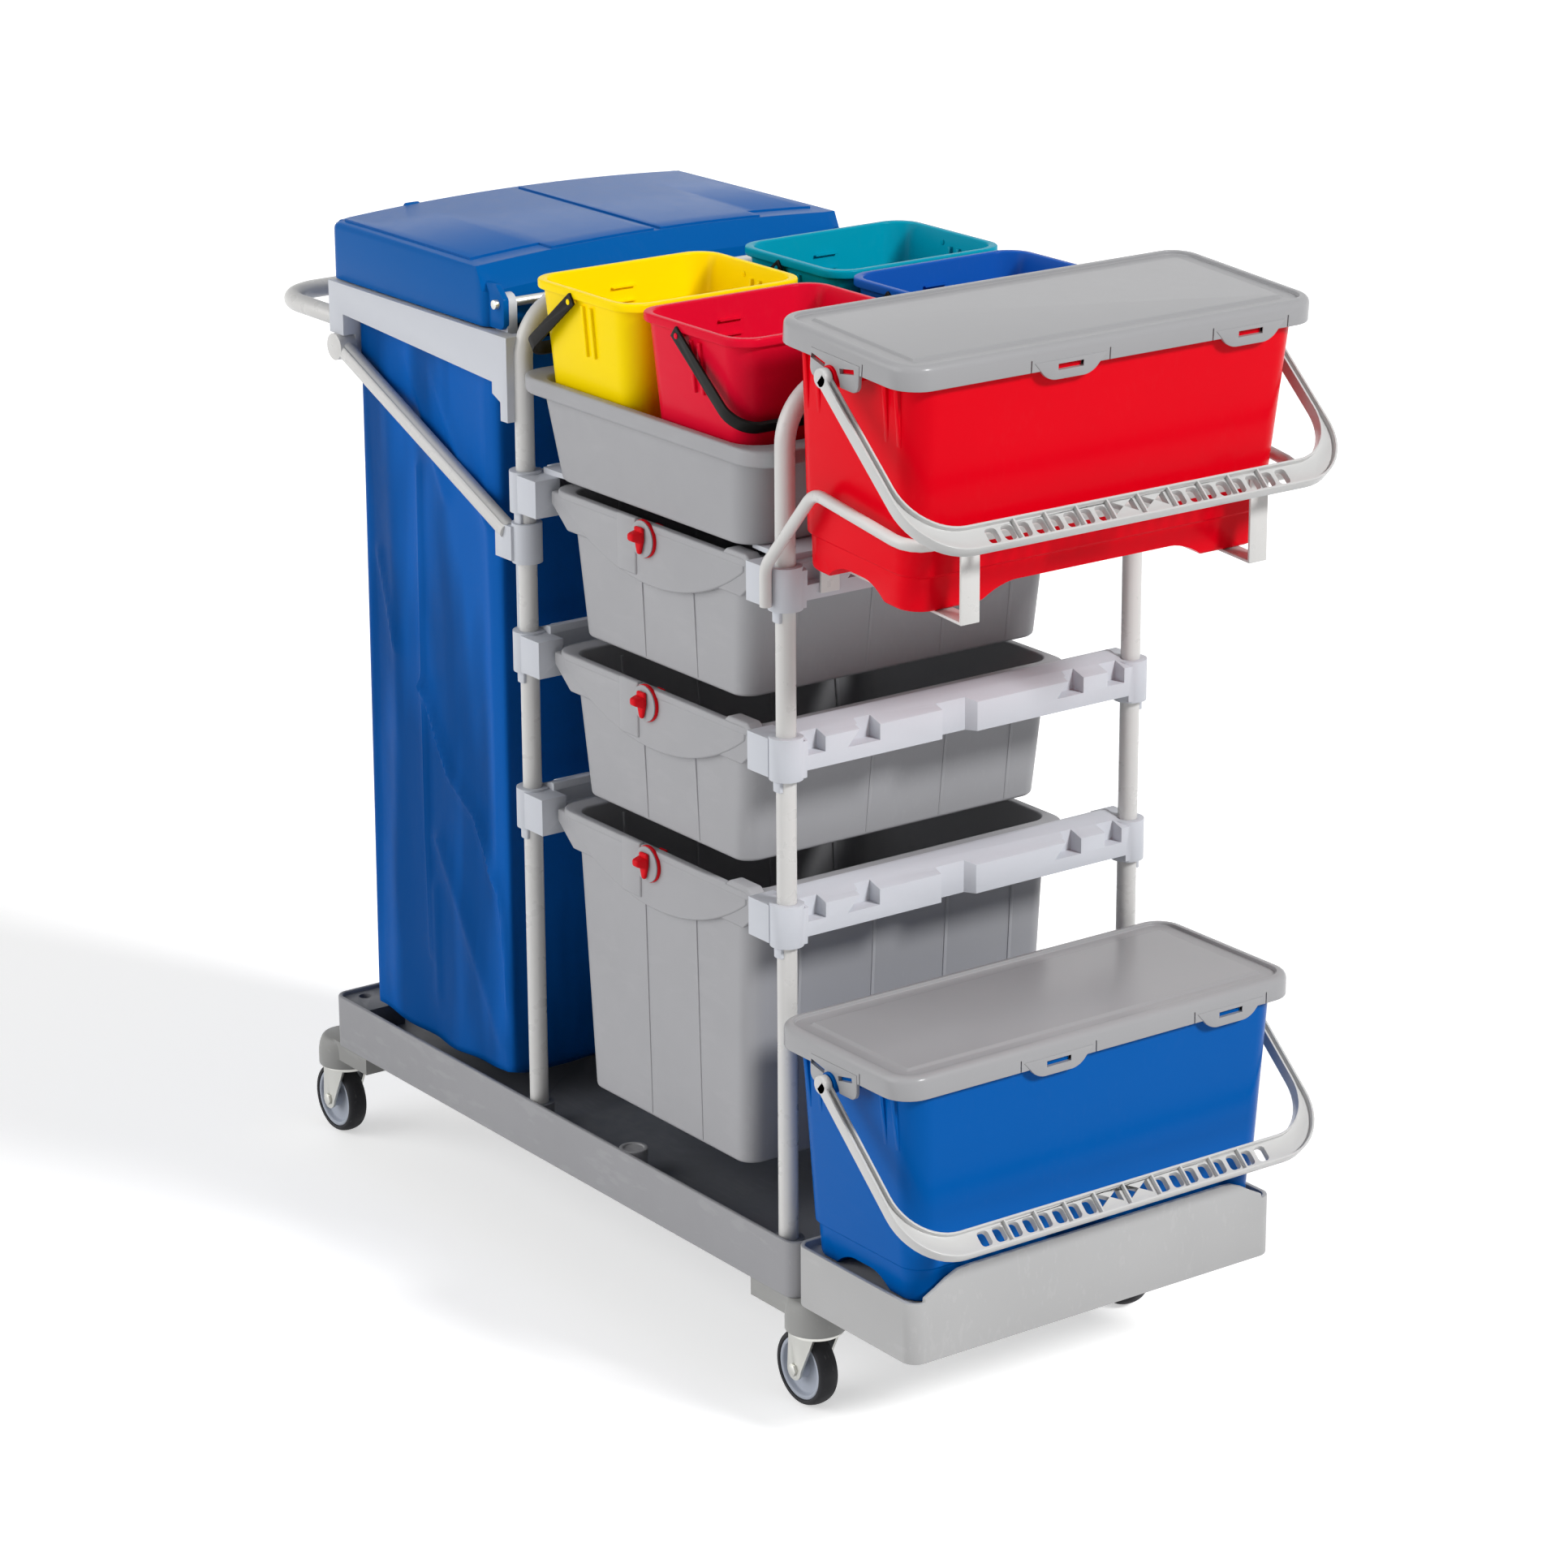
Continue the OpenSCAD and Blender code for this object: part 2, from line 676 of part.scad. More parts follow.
module drawer_at(level) centred() translate([mid_x, 0, flange_z(level)]) children();

module drawer(level) color("darkgray") drawer_at(level) difference() {
    bow_steps = 12;
    body_w = drawer_w / 2 - flange_in;
    depth = drawer_depth(level);
    middle = drawer_y0 + drawer_len / 2;
    union() {
        translate([0, middle, -depth])
            vessel(drawer_foot, [drawer_w, drawer_len], drawer_r, depth + flange_t, drawer_wall);
        translate([0, middle, 0])
            frame_ring([flange_w, drawer_len + 2 * flange_over],
                       [drawer_w - 2 * flange_in, drawer_len - 2 * flange_in], flange_r, flange_t,
                       drawer_r - flange_in);
        // ears in front of the rails' ends
        side_plate(drawer_y0, ear_t) polygon([
            [-flange_w / 2, flange_t], [-flange_w / 2, -ear_h], [-body_w, -ear_drop],
            [body_w, -ear_drop], [flange_w / 2, -ear_h], [flange_w / 2, flange_t]]);
        // apron that carries the lock, with a bowed lower edge
        side_plate(drawer_y0 - pad_t, pad_t + 2) polygon(concat(
            [[body_w, flange_t], [-body_w, flange_t]],
            [for (i = [0 : bow_steps]) let (t = 2 * i / bow_steps - 1)
                [t * body_w, -ear_h - (pad_h - ear_h) * (1 - t * t)]]));
    }
    translate([lock_x, drawer_y0, -lock_drop]) along_y(lock_d + 2 * fit, -2 * pad_t, 2 * ear_t);
}

knob_d = 26;
knob_t = 5;
fin = [8, 12, 28];            // grip of the knob
cam = [12, 3, 24];            // tongue behind the drawer's front
module drawer_lock(level) color("red") drawer_at(level) translate([lock_x, 0, -lock_drop]) {
    face_y = drawer_y0 - pad_t - clear;
    cam_y = drawer_y0 + ear_t + 2;
    along_y(lock_d, face_y - knob_t / 2, cam_y + cam[1]);
    along_y(knob_d, face_y - knob_t, face_y);
    translate([-fin[0] / 2, face_y - knob_t + 1 - fin[1], -fin[2] / 2]) cube(fin);
    translate([-cam[0] / 2, cam_y, -cam[0] / 2]) cube(cam);
}

// Bag end

clamp_h = 88;
clamp_t = 5;
knee_x = rear_x - 30;         // where the arm deepens towards its clamp
knee_drop = 18;
web_drop = 62;                // foot of the arm's deep end
web_x = rear_x - tube_r - 2;
grip_block = [28, 16, 14];    // block for the push handle: length, and walls beside and below it
block_over = 18;              // block beyond the arm's end
lug_x = [arm_x0 - 16, arm_x0 + 8];
lug_foot = 10;
ear_w = 12;
ear_foot = 14;

// Room for the rear hoop
module hoop_bore() translate([rear_x, 0, 0]) u_tube(tube_d + 2 * fit, tube_y, well_z, hoop_top, hoop_bend);

module arm_clamp() difference() {
    translate([rear_x - tube_r - clamp_t, tube_y - tube_r, arm_top - clamp_h])
        cube([tube_r + clamp_t - 2, arm_y - tube_y + tube_r, clamp_h]);
    hoop_bore();
}

ear_r = rod_d / 2 + 6;
ear_y = lid_w / 2 - ear_w - 10;
module arm() {
    difference() {
        union() {
            side_plate(arm_y - arm_t, arm_t) polygon([
                [arm_x0, arm_top], [arm_x0, arm_top - arm_h], [knee_x, arm_top - arm_h - knee_drop],
                [knee_x, arm_top - web_drop], [web_x, arm_top - web_drop - 8], [web_x, arm_top]]);
            // block that takes the push handle, and the lug of the brace
            translate([arm_x0 - block_over, handle_y0 - grip_block[1], handle_z - grip_block[2]])
                cube([grip_block[0], arm_y - handle_y0 + grip_block[1], arm_top - handle_z + grip_block[2]]);
            side_plate(lug_y, arm_y - arm_t - lug_y)
                polygon([[lug_x[0], handle_z], [lug_x[1], handle_z], [lug_x[1], brace_top - lug_foot],
                         [lug_x[0], brace_top - lug_foot]]);
            // ear of the hinge rod
            side_plate(ear_y, ear_w) {
                translate([hinge_x, hinge_z]) circle(ear_r);
                polygon([[hinge_x - ear_r, arm_top - ear_w], [hinge_x + ear_r, arm_top - ear_w],
                         [hinge_x + ear_r, hinge_z], [hinge_x - ear_r, hinge_z]]);
            }
            translate([hinge_x - ear_r, ear_y, arm_top - ear_foot]) cube([2 * ear_r, arm_y - ear_y, ear_w]);
        }
        hoop_bore();
        translate([arm_x0 - block_over - 2, handle_y0, handle_z])
            rotate([0, 90, 0]) cylinder(d = handle_d + 2 * fit, h = block_over + 4);
        translate([hinge_x, 0, hinge_z]) along_y(rod_d + 2 * fit, 0, deck_w);
        translate([brace_x, 0, brace_top]) along_y(pin_d + 2 * fit, 0, deck_w);
    }
    arm_clamp();
}
cross_bar = [10, 14];         // bar between the arms
bar_drop = 16;
module bag_frame() color("lightsteelblue") centred() {
    both_sides() arm();
    translate([arm_x0, -arm_y + arm_t / 2, arm_top - bar_drop])
        cube([cross_bar[0], 2 * arm_y - arm_t, cross_bar[1]]);
}

module push_handle() color("silver") centred()
    translate([arm_x0, 0, handle_z]) rotate([0, -90, 0])
        hollow_u(handle_d, handle_y0, 0, arm_x0 - rear_x + handle_reach, handle_bend);

collar_h = 42;
collar_t = 6;
collar_z = brace_foot - collar_h + 10;
lug = [30, 16, 36];
tail = [4, 6];                // strip below the collar
tail_x = rear_x - tube_r - 3;
module lug_box() translate([tail_x - lug[0] + 12, arm_y - lug[1], collar_z + 3]) cube(lug);

module brace() difference() {
    union() {
        bar([brace_x, brace_y, brace_top], [rear_x - tube_r - collar_t, brace_y, brace_foot], brace_d);
        translate([brace_x, 0, brace_top]) along_y(brace_eye, brace_y - brace_d / 2, brace_y + brace_d / 2);
        translate([brace_x, 0, brace_top]) along_y(pin_d, lug_y, brace_y);
    }
    lug_box();
    translate([rear_x, tube_y, 0]) cylinder(r = tube_r + collar_t + clear, h = hoop_top);
}
module brace_near() color("lightgray") centred() mirror([0, 1, 0]) brace();
module brace_far() color("lightgray") centred() brace();

module brace_collars() color("silver") centred() both_sides() difference() {
    union() {
        translate([rear_x, tube_y, collar_z]) cylinder(r = tube_r + collar_t, h = collar_h);
        lug_box();
        translate([tail_x, tube_y, rail_z(2) + rail_h + clamp_rise])
            cube([tail[0], tail[1], collar_z - rail_z(2) - rail_h - clamp_rise + 2]);
    }
    translate([rear_x, tube_y, 0]) cylinder(r = tube_r + fit, h = hoop_top);
}

module hinge_rod() color("silver") centred()
    translate([hinge_x, 0, hinge_z]) along_y(rod_d, -lid_w / 2, lid_w / 2);

// The lid, measured from the hinge, x towards the buckets
lid_x0 = -lid_len + 10;
lid_knee = -34;               // where the top slopes down to its brow
lid_brow = [-12, 20];         // front edge of the top, over the hinge rod
lid_tall = lid_edge - lid_under + lid_crown;
cheek_t = 8;                  // thick ends of the lid's sides, on the hinge rod
cheek_x = [-40, 12];
cheek_cut = 8;
cheek_top = 12;
groove_w = 6;
groove_d = 1.5;

// Side view of the lid's shell
module lid_side(inset, foot) polygon([
    [lid_brow[0] - 2, foot], [lid_x0 + inset, foot], [lid_x0 + inset, lid_tall],
    [lid_knee, lid_tall - inset], [lid_brow[0], lid_brow[1] - inset], [lid_brow[0] + 2, 0]]);

// End view of the lid's shell, crowned across the cart
module lid_end(inset, foot) {
    steps = 16;
    half = lid_w / 2 - inset;
    polygon(concat([[half, foot], [-half, foot]], [for (i = [0 : steps]) let (y = half * (2 * i / steps - 1))
        [y, lid_tall - inset - lid_crown * pow(2 * y / lid_w, 2)]]));
}

module lid_form(inset, foot) intersection() {
    side_plate(-lid_w / 2 + inset, lid_w - 2 * inset) lid_side(inset, foot);
    translate([lid_x0, 0, 0]) rotate([90, 0, 90]) linear_extrude(lid_len) lid_end(inset, foot);
}

module bag_lid() color("royalblue") centred() translate([hinge_x, 0, hinge_z]) difference() {
    union() {
        difference() {
            lid_form(0, -lid_under);
            lid_form(lid_wall, -lid_under - 1);
            side_plate(-lid_w / 2 + lid_wall, lid_w - 2 * lid_wall)
                translate([lid_brow[0] - lid_wall, -lid_under - 1])
                    square([-cheek_x[0], lid_under + lid_brow[1] - 2]);
        }
        both_sides() side_plate(lid_w / 2 - cheek_t, cheek_t) polygon([
            [cheek_x[0], -lid_under], [cheek_x[1] - cheek_cut, -lid_under],
            [cheek_x[1], cheek_cut - lid_under], [cheek_x[1], cheek_top],
            [lid_brow[0], lid_edge - lid_under], [cheek_x[0], lid_edge - lid_under]]);
    }
    along_y(rod_d + 2 * fit, -lid_w, lid_w);
    // groove between the two panels
    translate([lid_x0 + 2 * groove_w, -groove_w / 2, lid_tall - groove_d])
        cube([lid_len - 10 * groove_w, groove_w, lid_crown]);
}

bag_x = arm_x0 + cross_bar[0] + clear + bag_len / 2;
bag_z = well_z + bag_gap;
bag_h = arm_top - bar_drop - 2 - bag_z;
bag_top = [bag_len, 2 * (arm_y - arm_t - clear)];
bag_taper = [4, 16];
bag_foot = bag_top - bag_taper;
bag_r = 26;
bag_wall = 3;
module waste_bag() color("mediumblue") centred() translate([bag_x, 0, bag_z])
    vessel(bag_foot, bag_top, bag_r, bag_h, bag_wall);

// Buckets, rack and straps

module lower_at() centred() translate([bucket_x, 0, seat_z + clear]) children();
module upper_at() centred() translate([upper_x, 0, upper_z]) rotate([0, bucket_tip, 0]) children();

bucket_r = 28;
bucket_rim = 3;
bucket_rim_h = 10;
arch_h = 16;
foot_len = 58;
foot_w = 30;

// Low arch along the local Z axis, of half width a
module arch(a) {
    steps = 12;
    polygon(concat([[a, -1], [-a, -1]], [for (i = [0 : steps])
        [a * (2 * i / steps - 1), arch_h * ease(2 * min(i, steps - i) / steps)]]));
}

module bucket_hollow() translate([0, 0, arch_h + bucket_wall])
    taper([for (s = bucket_foot) s - 2 * bucket_wall], [for (s = bucket_top) s - 2 * bucket_wall],
          bucket_r - bucket_wall, bucket_h);

module bucket() difference() {
    union() {
        taper(bucket_foot, bucket_top, bucket_r, bucket_h);
        translate([0, 0, bucket_h - bucket_rim_h])
            slab([for (s = bucket_top) s + 2 * bucket_rim], bucket_r + bucket_rim, bucket_rim_h);
        both_sides() translate([pivot_x, 0, pivot_z]) {
            along_y(boss_d, bucket_foot[1] / 2 - 2, handle_y - 1);
            along_y(pivot_d, bucket_foot[1] / 2, handle_y + arm_w + 1);
        }
    }
    bucket_hollow();
    translate([-bucket_lid_w / 2, 0, 0]) rotate([90, 0, 90]) linear_extrude(bucket_lid_w)
        arch(bucket_foot[1] / 2 - foot_len);
    side_plate(-bucket_lid_len / 2, bucket_lid_len) arch(bucket_foot[0] / 2 - foot_w);
}

module bucket_upper() color("red") upper_at() bucket();
module bucket_lower() color("royalblue") lower_at() bucket();

lid_skirt = 15;
skirt_t = 3;
lid_r = bucket_r + 2;
latch_len = [86, 70];         // clips on the long sides and on the ends
latch_h = [14, 21];
latch_places = [-0.12, 0.32]; // clips along a side, as shares of the lid's length
border = 22;                  // recessed border inside the rim
border_d = 4;
rim_w = 8;
notch_d = 26;                 // room for the handle's eye in an end clip
module bucket_lid() translate([0, 0, bucket_h + clear]) {
    size = [bucket_lid_w, bucket_lid_len];
    inside = [for (s = size) s - 2 * skirt_t];
    difference() {
        union() {
            translate([0, 0, -lid_skirt]) slab(size, lid_r, lid_skirt + bucket_lid_t);
            for (sy = SIDES) translate([-skirt_t, sy * (size[1] - skirt_t) / 2, -lid_skirt])
                cube([latch_len[1], skirt_t, latch_h[1]], center = true);
            for (y = latch_places) translate([(size[0] - skirt_t) / 2, y * size[1], -lid_skirt])
                cube([skirt_t, latch_len[0], latch_h[0]], center = true);
        }
        translate([0, 0, -lid_skirt - latch_h[1]]) slab(inside, lid_r - skirt_t, lid_skirt + latch_h[1]);
        // recessed border round the raised panel
        translate([0, 0, bucket_lid_t - border_d])
            frame_ring([for (s = size) s - 2 * rim_w], [for (s = size) s - 2 * (rim_w + border)],
                       lid_r - rim_w, border_d + 1, lid_r - rim_w - 6);
        for (sy = SIDES) translate([pivot_x, sy * size[1] / 2, pivot_z - bucket_h])
            rotate([90, 0, 0]) cylinder(d = notch_d, h = 10, center = true);
    }
}
module bucket_lid_upper() color("darkgray") upper_at() bucket_lid();
module bucket_lid_lower() color("darkgray") lower_at() bucket_lid();

grip_holes = 18;
module bucket_handle(hang) translate([pivot_x, 0, pivot_z]) rotate([0, hang, 0]) difference() {
    pitch = (2 * handle_y - 2 * grip_r) / grip_holes;
    union() {
        translate([0, 0, -handle_t / 2]) linear_extrude(handle_t) difference() {
            intersection() {
                round_rect([2 * grip_arm + grip_w, 2 * (handle_y + arm_w)], grip_r);
                translate([0, -handle_y - arm_w - 1])
                    square([grip_arm + grip_w, 2 * (handle_y + arm_w + 1)]);
            }
            round_rect([2 * grip_arm - grip_w, 2 * handle_y], grip_r - arm_w);
        }
        both_sides() along_y(2 * handle_t, handle_y, handle_y + arm_w);
    }
    along_y(pivot_d + 2 * fit, -deck_w, deck_w);
    for (i = [0 : grip_holes - 1]) translate([grip_arm, (i - (grip_holes - 1) / 2) * pitch, -handle_t])
        cylinder(d = pitch * 0.55, h = 2 * handle_t, $fn = 24);
}
module bucket_handle_upper() color("whitesmoke") upper_at() bucket_handle(handle_hang - bucket_tip);
module bucket_handle_lower() color("whitesmoke") lower_at() bucket_handle(handle_hang);

rack_bend = 24;
rack_foot_z = rail_z(1) + 6;
rack_rise = 134;
rack_knee = [lid_back + 58.5, rail_z(1) + rack_rise];
rack_dip = 22;
rack_front_z = rack_knee[1] - rack_dip;
rack_leg_z = rack_foot_z + 40;
bucket_out = (bucket_foot[1] + (bucket_top[1] - bucket_foot[1]) * rack_rise / bucket_h) / 2;
rack_out = max(rack_y, bucket_out + rack_d / 2 + 2);  // rack beside the upper bucket
module bucket_rack() color("whitesmoke") centred() bent_bar([
    [0, -rack_y, rack_foot_z], [0, -rack_y, rack_leg_z], [rack_knee[0], -rack_out, rack_knee[1]],
    [rack_x, -rack_out, rack_front_z], [rack_x, rack_out, rack_front_z],
    [rack_knee[0], rack_out, rack_knee[1]], [0, rack_y, rack_leg_z], [0, rack_y, rack_foot_z]],
    rack_d, rack_bend);

strap_y = 175;
strap_w = 22;
strap_t = 3;
strap_hook = 14;
function strap_z(x) = upper_z - clear - (x - upper_x) * tan(bucket_tip);
module rack_straps() color("whitesmoke") centred() for (sy = SIDES) {
    x2 = rack_x + rack_d / 2 + clear;
    x1 = lip_x + clear;
    hook_z = rail_z(1) + strap_hook;
    drop = strap_t / cos(bucket_tip);
    side_plate(sy * strap_y - strap_w / 2, strap_w) polygon([
        [x2 + strap_t, rack_front_z + rack_d / 2], [x2, rack_front_z + rack_d / 2], [x2, strap_z(x2)],
        [x1, strap_z(x1)], [x1, hook_z], [x1 + strap_t, hook_z],
        [x1 + strap_t, strap_z(x1 + strap_t) - drop], [x2 + strap_t, strap_z(x2 + strap_t) - drop]]);
}

base_deck();
deck_sockets();
bucket_platform();
castor_housings();
castor_fork(0, -1);  // castor_fork_rear_near
castor_fork(0, 1);  // castor_fork_rear_far
castor_fork(1, -1);  // castor_fork_front_near
castor_fork(1, 1);  // castor_fork_front_far
castor_axle(0, -1);  // castor_axle_rear_near
castor_axle(0, 1);  // castor_axle_rear_far
castor_axle(1, -1);  // castor_axle_front_near
castor_axle(1, 1);  // castor_axle_front_far
wheel_hub(0, -1);  // wheel_hub_rear_near
wheel_hub(0, 1);  // wheel_hub_rear_far
wheel_hub(1, -1);  // wheel_hub_front_near
wheel_hub(1, 1);  // wheel_hub_front_far
tyre(0, -1);  // tyre_rear_near
tyre(0, 1);  // tyre_rear_far
tyre(1, -1);  // tyre_front_near
tyre(1, 1);  // tyre_front_far
hoop(rear_x);  // rear_hoop
hoop(0);  // front_hoop
rear_rail(1);  // rear_rail_1
rear_rail(2);  // rear_rail_2
rear_rail(3);  // rear_rail_3
front_rail(1);  // front_rail_1
front_rail(2);  // front_rail_2
front_rail(3);  // front_rail_3
rail_clips();
top_tray();
pail(0, -1, "gold");  // pail_yellow
pail(1, -1, "crimson");  // pail_red
pail(0, 1, "darkcyan");  // pail_teal
pail(1, 1, "royalblue");  // pail_blue
bail(0, -1);  // bail_yellow
bail(1, -1);  // bail_red
bail(0, 1);  // bail_teal
bail(1, 1);  // bail_blue
drawer(1);  // drawer_1
drawer(2);  // drawer_2
drawer(3);  // drawer_3
drawer_lock(1);  // drawer_lock_1
drawer_lock(2);  // drawer_lock_2
drawer_lock(3);  // drawer_lock_3
bag_frame();
push_handle();
brace_near();
brace_far();
brace_collars();
hinge_rod();
bag_lid();
waste_bag();
bucket_rack();
rack_straps();
bucket_upper();
bucket_lower();
bucket_lid_upper();
bucket_lid_lower();
bucket_handle_upper();
bucket_handle_lower();
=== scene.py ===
"""Janitor cart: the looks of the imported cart, modelled around its CAD frame."""
import json
import math
from contextlib import contextmanager

import bmesh
import bpy
from mathutils import Matrix, Vector

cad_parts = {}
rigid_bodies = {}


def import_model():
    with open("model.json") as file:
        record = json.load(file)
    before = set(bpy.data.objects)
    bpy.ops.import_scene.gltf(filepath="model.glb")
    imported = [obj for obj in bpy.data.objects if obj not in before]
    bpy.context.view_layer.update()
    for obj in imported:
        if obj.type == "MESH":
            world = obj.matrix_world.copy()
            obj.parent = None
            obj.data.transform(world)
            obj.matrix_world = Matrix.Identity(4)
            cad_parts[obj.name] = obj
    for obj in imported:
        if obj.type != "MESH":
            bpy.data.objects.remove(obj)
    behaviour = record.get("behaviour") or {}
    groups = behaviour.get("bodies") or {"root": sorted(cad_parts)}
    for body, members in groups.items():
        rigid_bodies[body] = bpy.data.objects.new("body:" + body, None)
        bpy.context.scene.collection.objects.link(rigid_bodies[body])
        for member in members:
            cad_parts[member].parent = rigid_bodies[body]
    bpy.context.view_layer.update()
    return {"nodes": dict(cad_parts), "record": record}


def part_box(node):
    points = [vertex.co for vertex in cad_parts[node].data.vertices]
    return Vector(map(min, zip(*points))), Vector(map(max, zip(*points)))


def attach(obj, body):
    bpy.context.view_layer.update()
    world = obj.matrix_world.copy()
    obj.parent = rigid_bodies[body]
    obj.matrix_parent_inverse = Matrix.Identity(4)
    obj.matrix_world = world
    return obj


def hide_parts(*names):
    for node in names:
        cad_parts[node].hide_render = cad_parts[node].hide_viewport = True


bl_info = {
    "name": "Janitor Cart",
    "version": (1, 0, 0),
    "blender": (4, 5, 0),
    "location": "View3D > Sidebar > Cart",
    "description": "Models and finishes a janitor cart around its CAD frame",
    "category": "Object",
}

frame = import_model()

MM = 0.001
PHOTO_SIDE = 1932                # pixels along a side of the photograph
SENSOR = 36.0                    # camera sensor width in millimetres
ORIGIN = (0, 0, 0)
ALONG, ACROSS, UP = range(3)     # axes along the cart, across it and upright
MOSTLY = 0.9                     # share along an axis from which an edge or normal counts as lying on it
LEVEL = 0.999                    # the same for a flat top, which leaves out the strips of a bevel
SLACK = 0.01 * MM                # how far a point may lie off a level and still count as on it
SHARP = math.radians(35)         # angle between faces from which their edge is sharp
CORNERS = ("rear_near", "rear_far", "front_near", "front_far")
PAILS = ("yellow", "red", "teal", "blue")
LEVELS = (1, 2, 3)
ENDS = ("rear", "front")
BUCKETS = ("upper", "lower")
BUCKET_PIVOT = Vector((-8 * MM, 0, 210 * MM))   # handle pivot over the middle of the foot
HANDLE_HANG = math.radians(42)
FRONT_CLIPS = (-59, 159)         # middles of a bucket lid's front clips across the cart, in millimetres
SIDE_SLOTS = (-28, 16)           # middles of the slots in its end clips, along the cart
SURFACE_OUTPUTS = (("Color", "Color"), ("Roughness", "Float"), ("Height", "Float"))
# Creases on the bag's near side: height and width in millimetres, then points as shares of width and height
BAG_CREASES = (
    (6.75, 26, ((0.2, 0.9), (0.22, 0.5), (0.16, 0.03))),
    (5.25, 4, ((0.41, 0.8), (0.41, 0.5), (0.42, 0.12))),
    (7.5, 6, ((0.42, 0.5), (0.6, 0.39), (0.77, 0.35), (0.93, 0.25), (0.98, 0.1))),
    (6.75, 14, ((0.92, 0.95), (0.93, 0.6), (0.92, 0.28))),
    (6.0, 12, ((0.5, 0.29), (0.65, 0.21), (0.78, 0.13), (0.93, 0.04))),
    (4.5, 6, ((0.46, 0.22), (0.46, 0.06))),
    (7.5, 9, ((0.55, 0.93), (0.73, 0.84), (0.92, 0.77))),
    (6.0, 9, ((0.36, 0.95), (0.5, 0.85), (0.62, 0.78))),
    (4.5, 7, ((0.1, 0.66), (0.16, 0.6), (0.23, 0.54))),
)


def tint(red, green, blue):
    """Linear colour from the 0 to 255 values that a screen shows."""
    def linear(value):
        value /= 255
        return value / 12.92 if value <= 0.04045 else ((value + 0.055) / 1.055) ** 2.4
    return (linear(red), linear(green), linear(blue))


def colour_property(name, description, default):
    return bpy.props.FloatVectorProperty(name=name, description=description, subtype="COLOR",
                                         size=3, min=0.0, max=1.0, default=default)


def length_property(name, description, default):
    return bpy.props.FloatProperty(name=name, description=description, default=default,
                                   min=0.0, unit="LENGTH", precision=4)


def angle_property(name, description, degrees):
    return bpy.props.FloatProperty(name=name, description=description, subtype="ANGLE",
                                   default=math.radians(degrees))


class CartColours(bpy.types.PropertyGroup):
    """Colours of the cart's finishes"""
    deck: colour_property("Deck", "Moulded deck", tint(150, 150, 153))
    # Darker than the deck: the well's grey is painted shade of the floor inside the rim, under the drawers
    # and bag.
    well: colour_property("Deck well", "Floor inside the deck's rim", tint(112, 114, 119))
    platform: colour_property("Platform", "Bucket platform", tint(174, 174, 174))
    housing: colour_property("Castor housings", "Round castor housings", tint(150, 150, 148))
    zinc: colour_property("Zinc", "Plated forks and axles", tint(205, 205, 200))
    hub: colour_property("Wheel hubs", "Moulded wheel hubs", tint(168, 174, 186))
    tyre: colour_property("Tyres", "Rubber tyres", tint(44, 44, 47))
    tube: colour_property("Tubes", "Coated frame tubes", tint(206, 205, 203))
    rail: colour_property("Rails", "Moulded rails, clamps and arms", tint(198, 201, 208))
    drawer: colour_property("Drawers", "Moulded drawers", tint(163, 163, 166))
    tray: colour_property("Tray", "Top tray", tint(160, 160, 163))
    lock: colour_property("Locks", "Drawer locks", tint(214, 20, 32))
    yellow: colour_property("Yellow pail", "Pail at the bag end, near side", tint(255, 222, 0))
    red: colour_property("Red pail", "Pail at the bucket end, near side", tint(222, 14, 48))
    teal: colour_property("Teal pail", "Pail at the bag end, far side", tint(0, 152, 178))
    blue: colour_property("Blue pail", "Pail at the bucket end, far side", tint(20, 85, 175))
    bail: colour_property("Bails", "Pail bails", tint(24, 23, 22))
    lid: colour_property("Bag lid", "Lid over the waste bag", tint(0, 88, 162))
    bag: colour_property("Bag", "Waste bag cloth", tint(0, 68, 134))
    upper: colour_property("Upper bucket", "Upper large bucket", tint(226, 0, 24))
    lower: colour_property("Lower bucket", "Lower large bucket", tint(0, 88, 168))
    bucket_lid: colour_property("Bucket lids", "Lids of the large buckets", tint(158, 158, 160))
    grip: colour_property("Bucket handles", "Handles of the large buckets", tint(200, 200, 199))


class CartSizes(bpy.types.PropertyGroup):
    """Sizes of the modelled detail"""
    edge: length_property("Edge", "Rounding of the metal and moulded edges", 1.2 * MM)
    merge: length_property("Merge", "Distance under which points are one", 0.02 * MM)


class CartView(bpy.types.PropertyGroup):
    """Where the photograph was taken from"""
    azimuth: angle_property("Azimuth", "Turn of the view about the upright", 54.022)
    elevation: angle_property("Elevation", "Height angle of the lens axis", 18.314)
    roll: angle_property("Roll", "Turn of the picture about the lens axis", -0.289)
    place: bpy.props.FloatVectorProperty(name="Place", description="Where the camera stands", subtype="XYZ",
                                         unit="LENGTH", size=3, default=(3.9257, -2.8256, 2.122))
    focal_px: bpy.props.FloatProperty(name="Focal length", description="In pixels of the photograph",
                                      default=5982.9)


# Selecting and shaping


def deselect_all():
    if bpy.context.mode != "OBJECT":
        bpy.ops.object.mode_set(mode="OBJECT")
    bpy.ops.object.select_all(action="DESELECT")


def make_active(obj):
    deselect_all()
    obj.select_set(True)
    bpy.context.view_layer.objects.active = obj


@contextmanager
def editing(obj):
    """Edit mode on one piece."""
    make_active(obj)
    bpy.ops.object.mode_set(mode="EDIT")
    try:
        yield
    finally:
        bpy.ops.object.mode_set(mode="OBJECT")


def pick(obj, kind, test):
    """Selects the VERT, EDGE or FACE items of the edited mesh that pass the test."""
    bpy.ops.mesh.select_mode(type=kind)
    bpy.ops.mesh.select_all(action="DESELECT")
    mesh = bmesh.from_edit_mesh(obj.data)
    for item in {"VERT": mesh.verts, "EDGE": mesh.edges, "FACE": mesh.faces}[kind]:
        if test(item):
            item.select_set(True)
    mesh.select_flush_mode()
    bmesh.update_edit_mesh(obj.data)


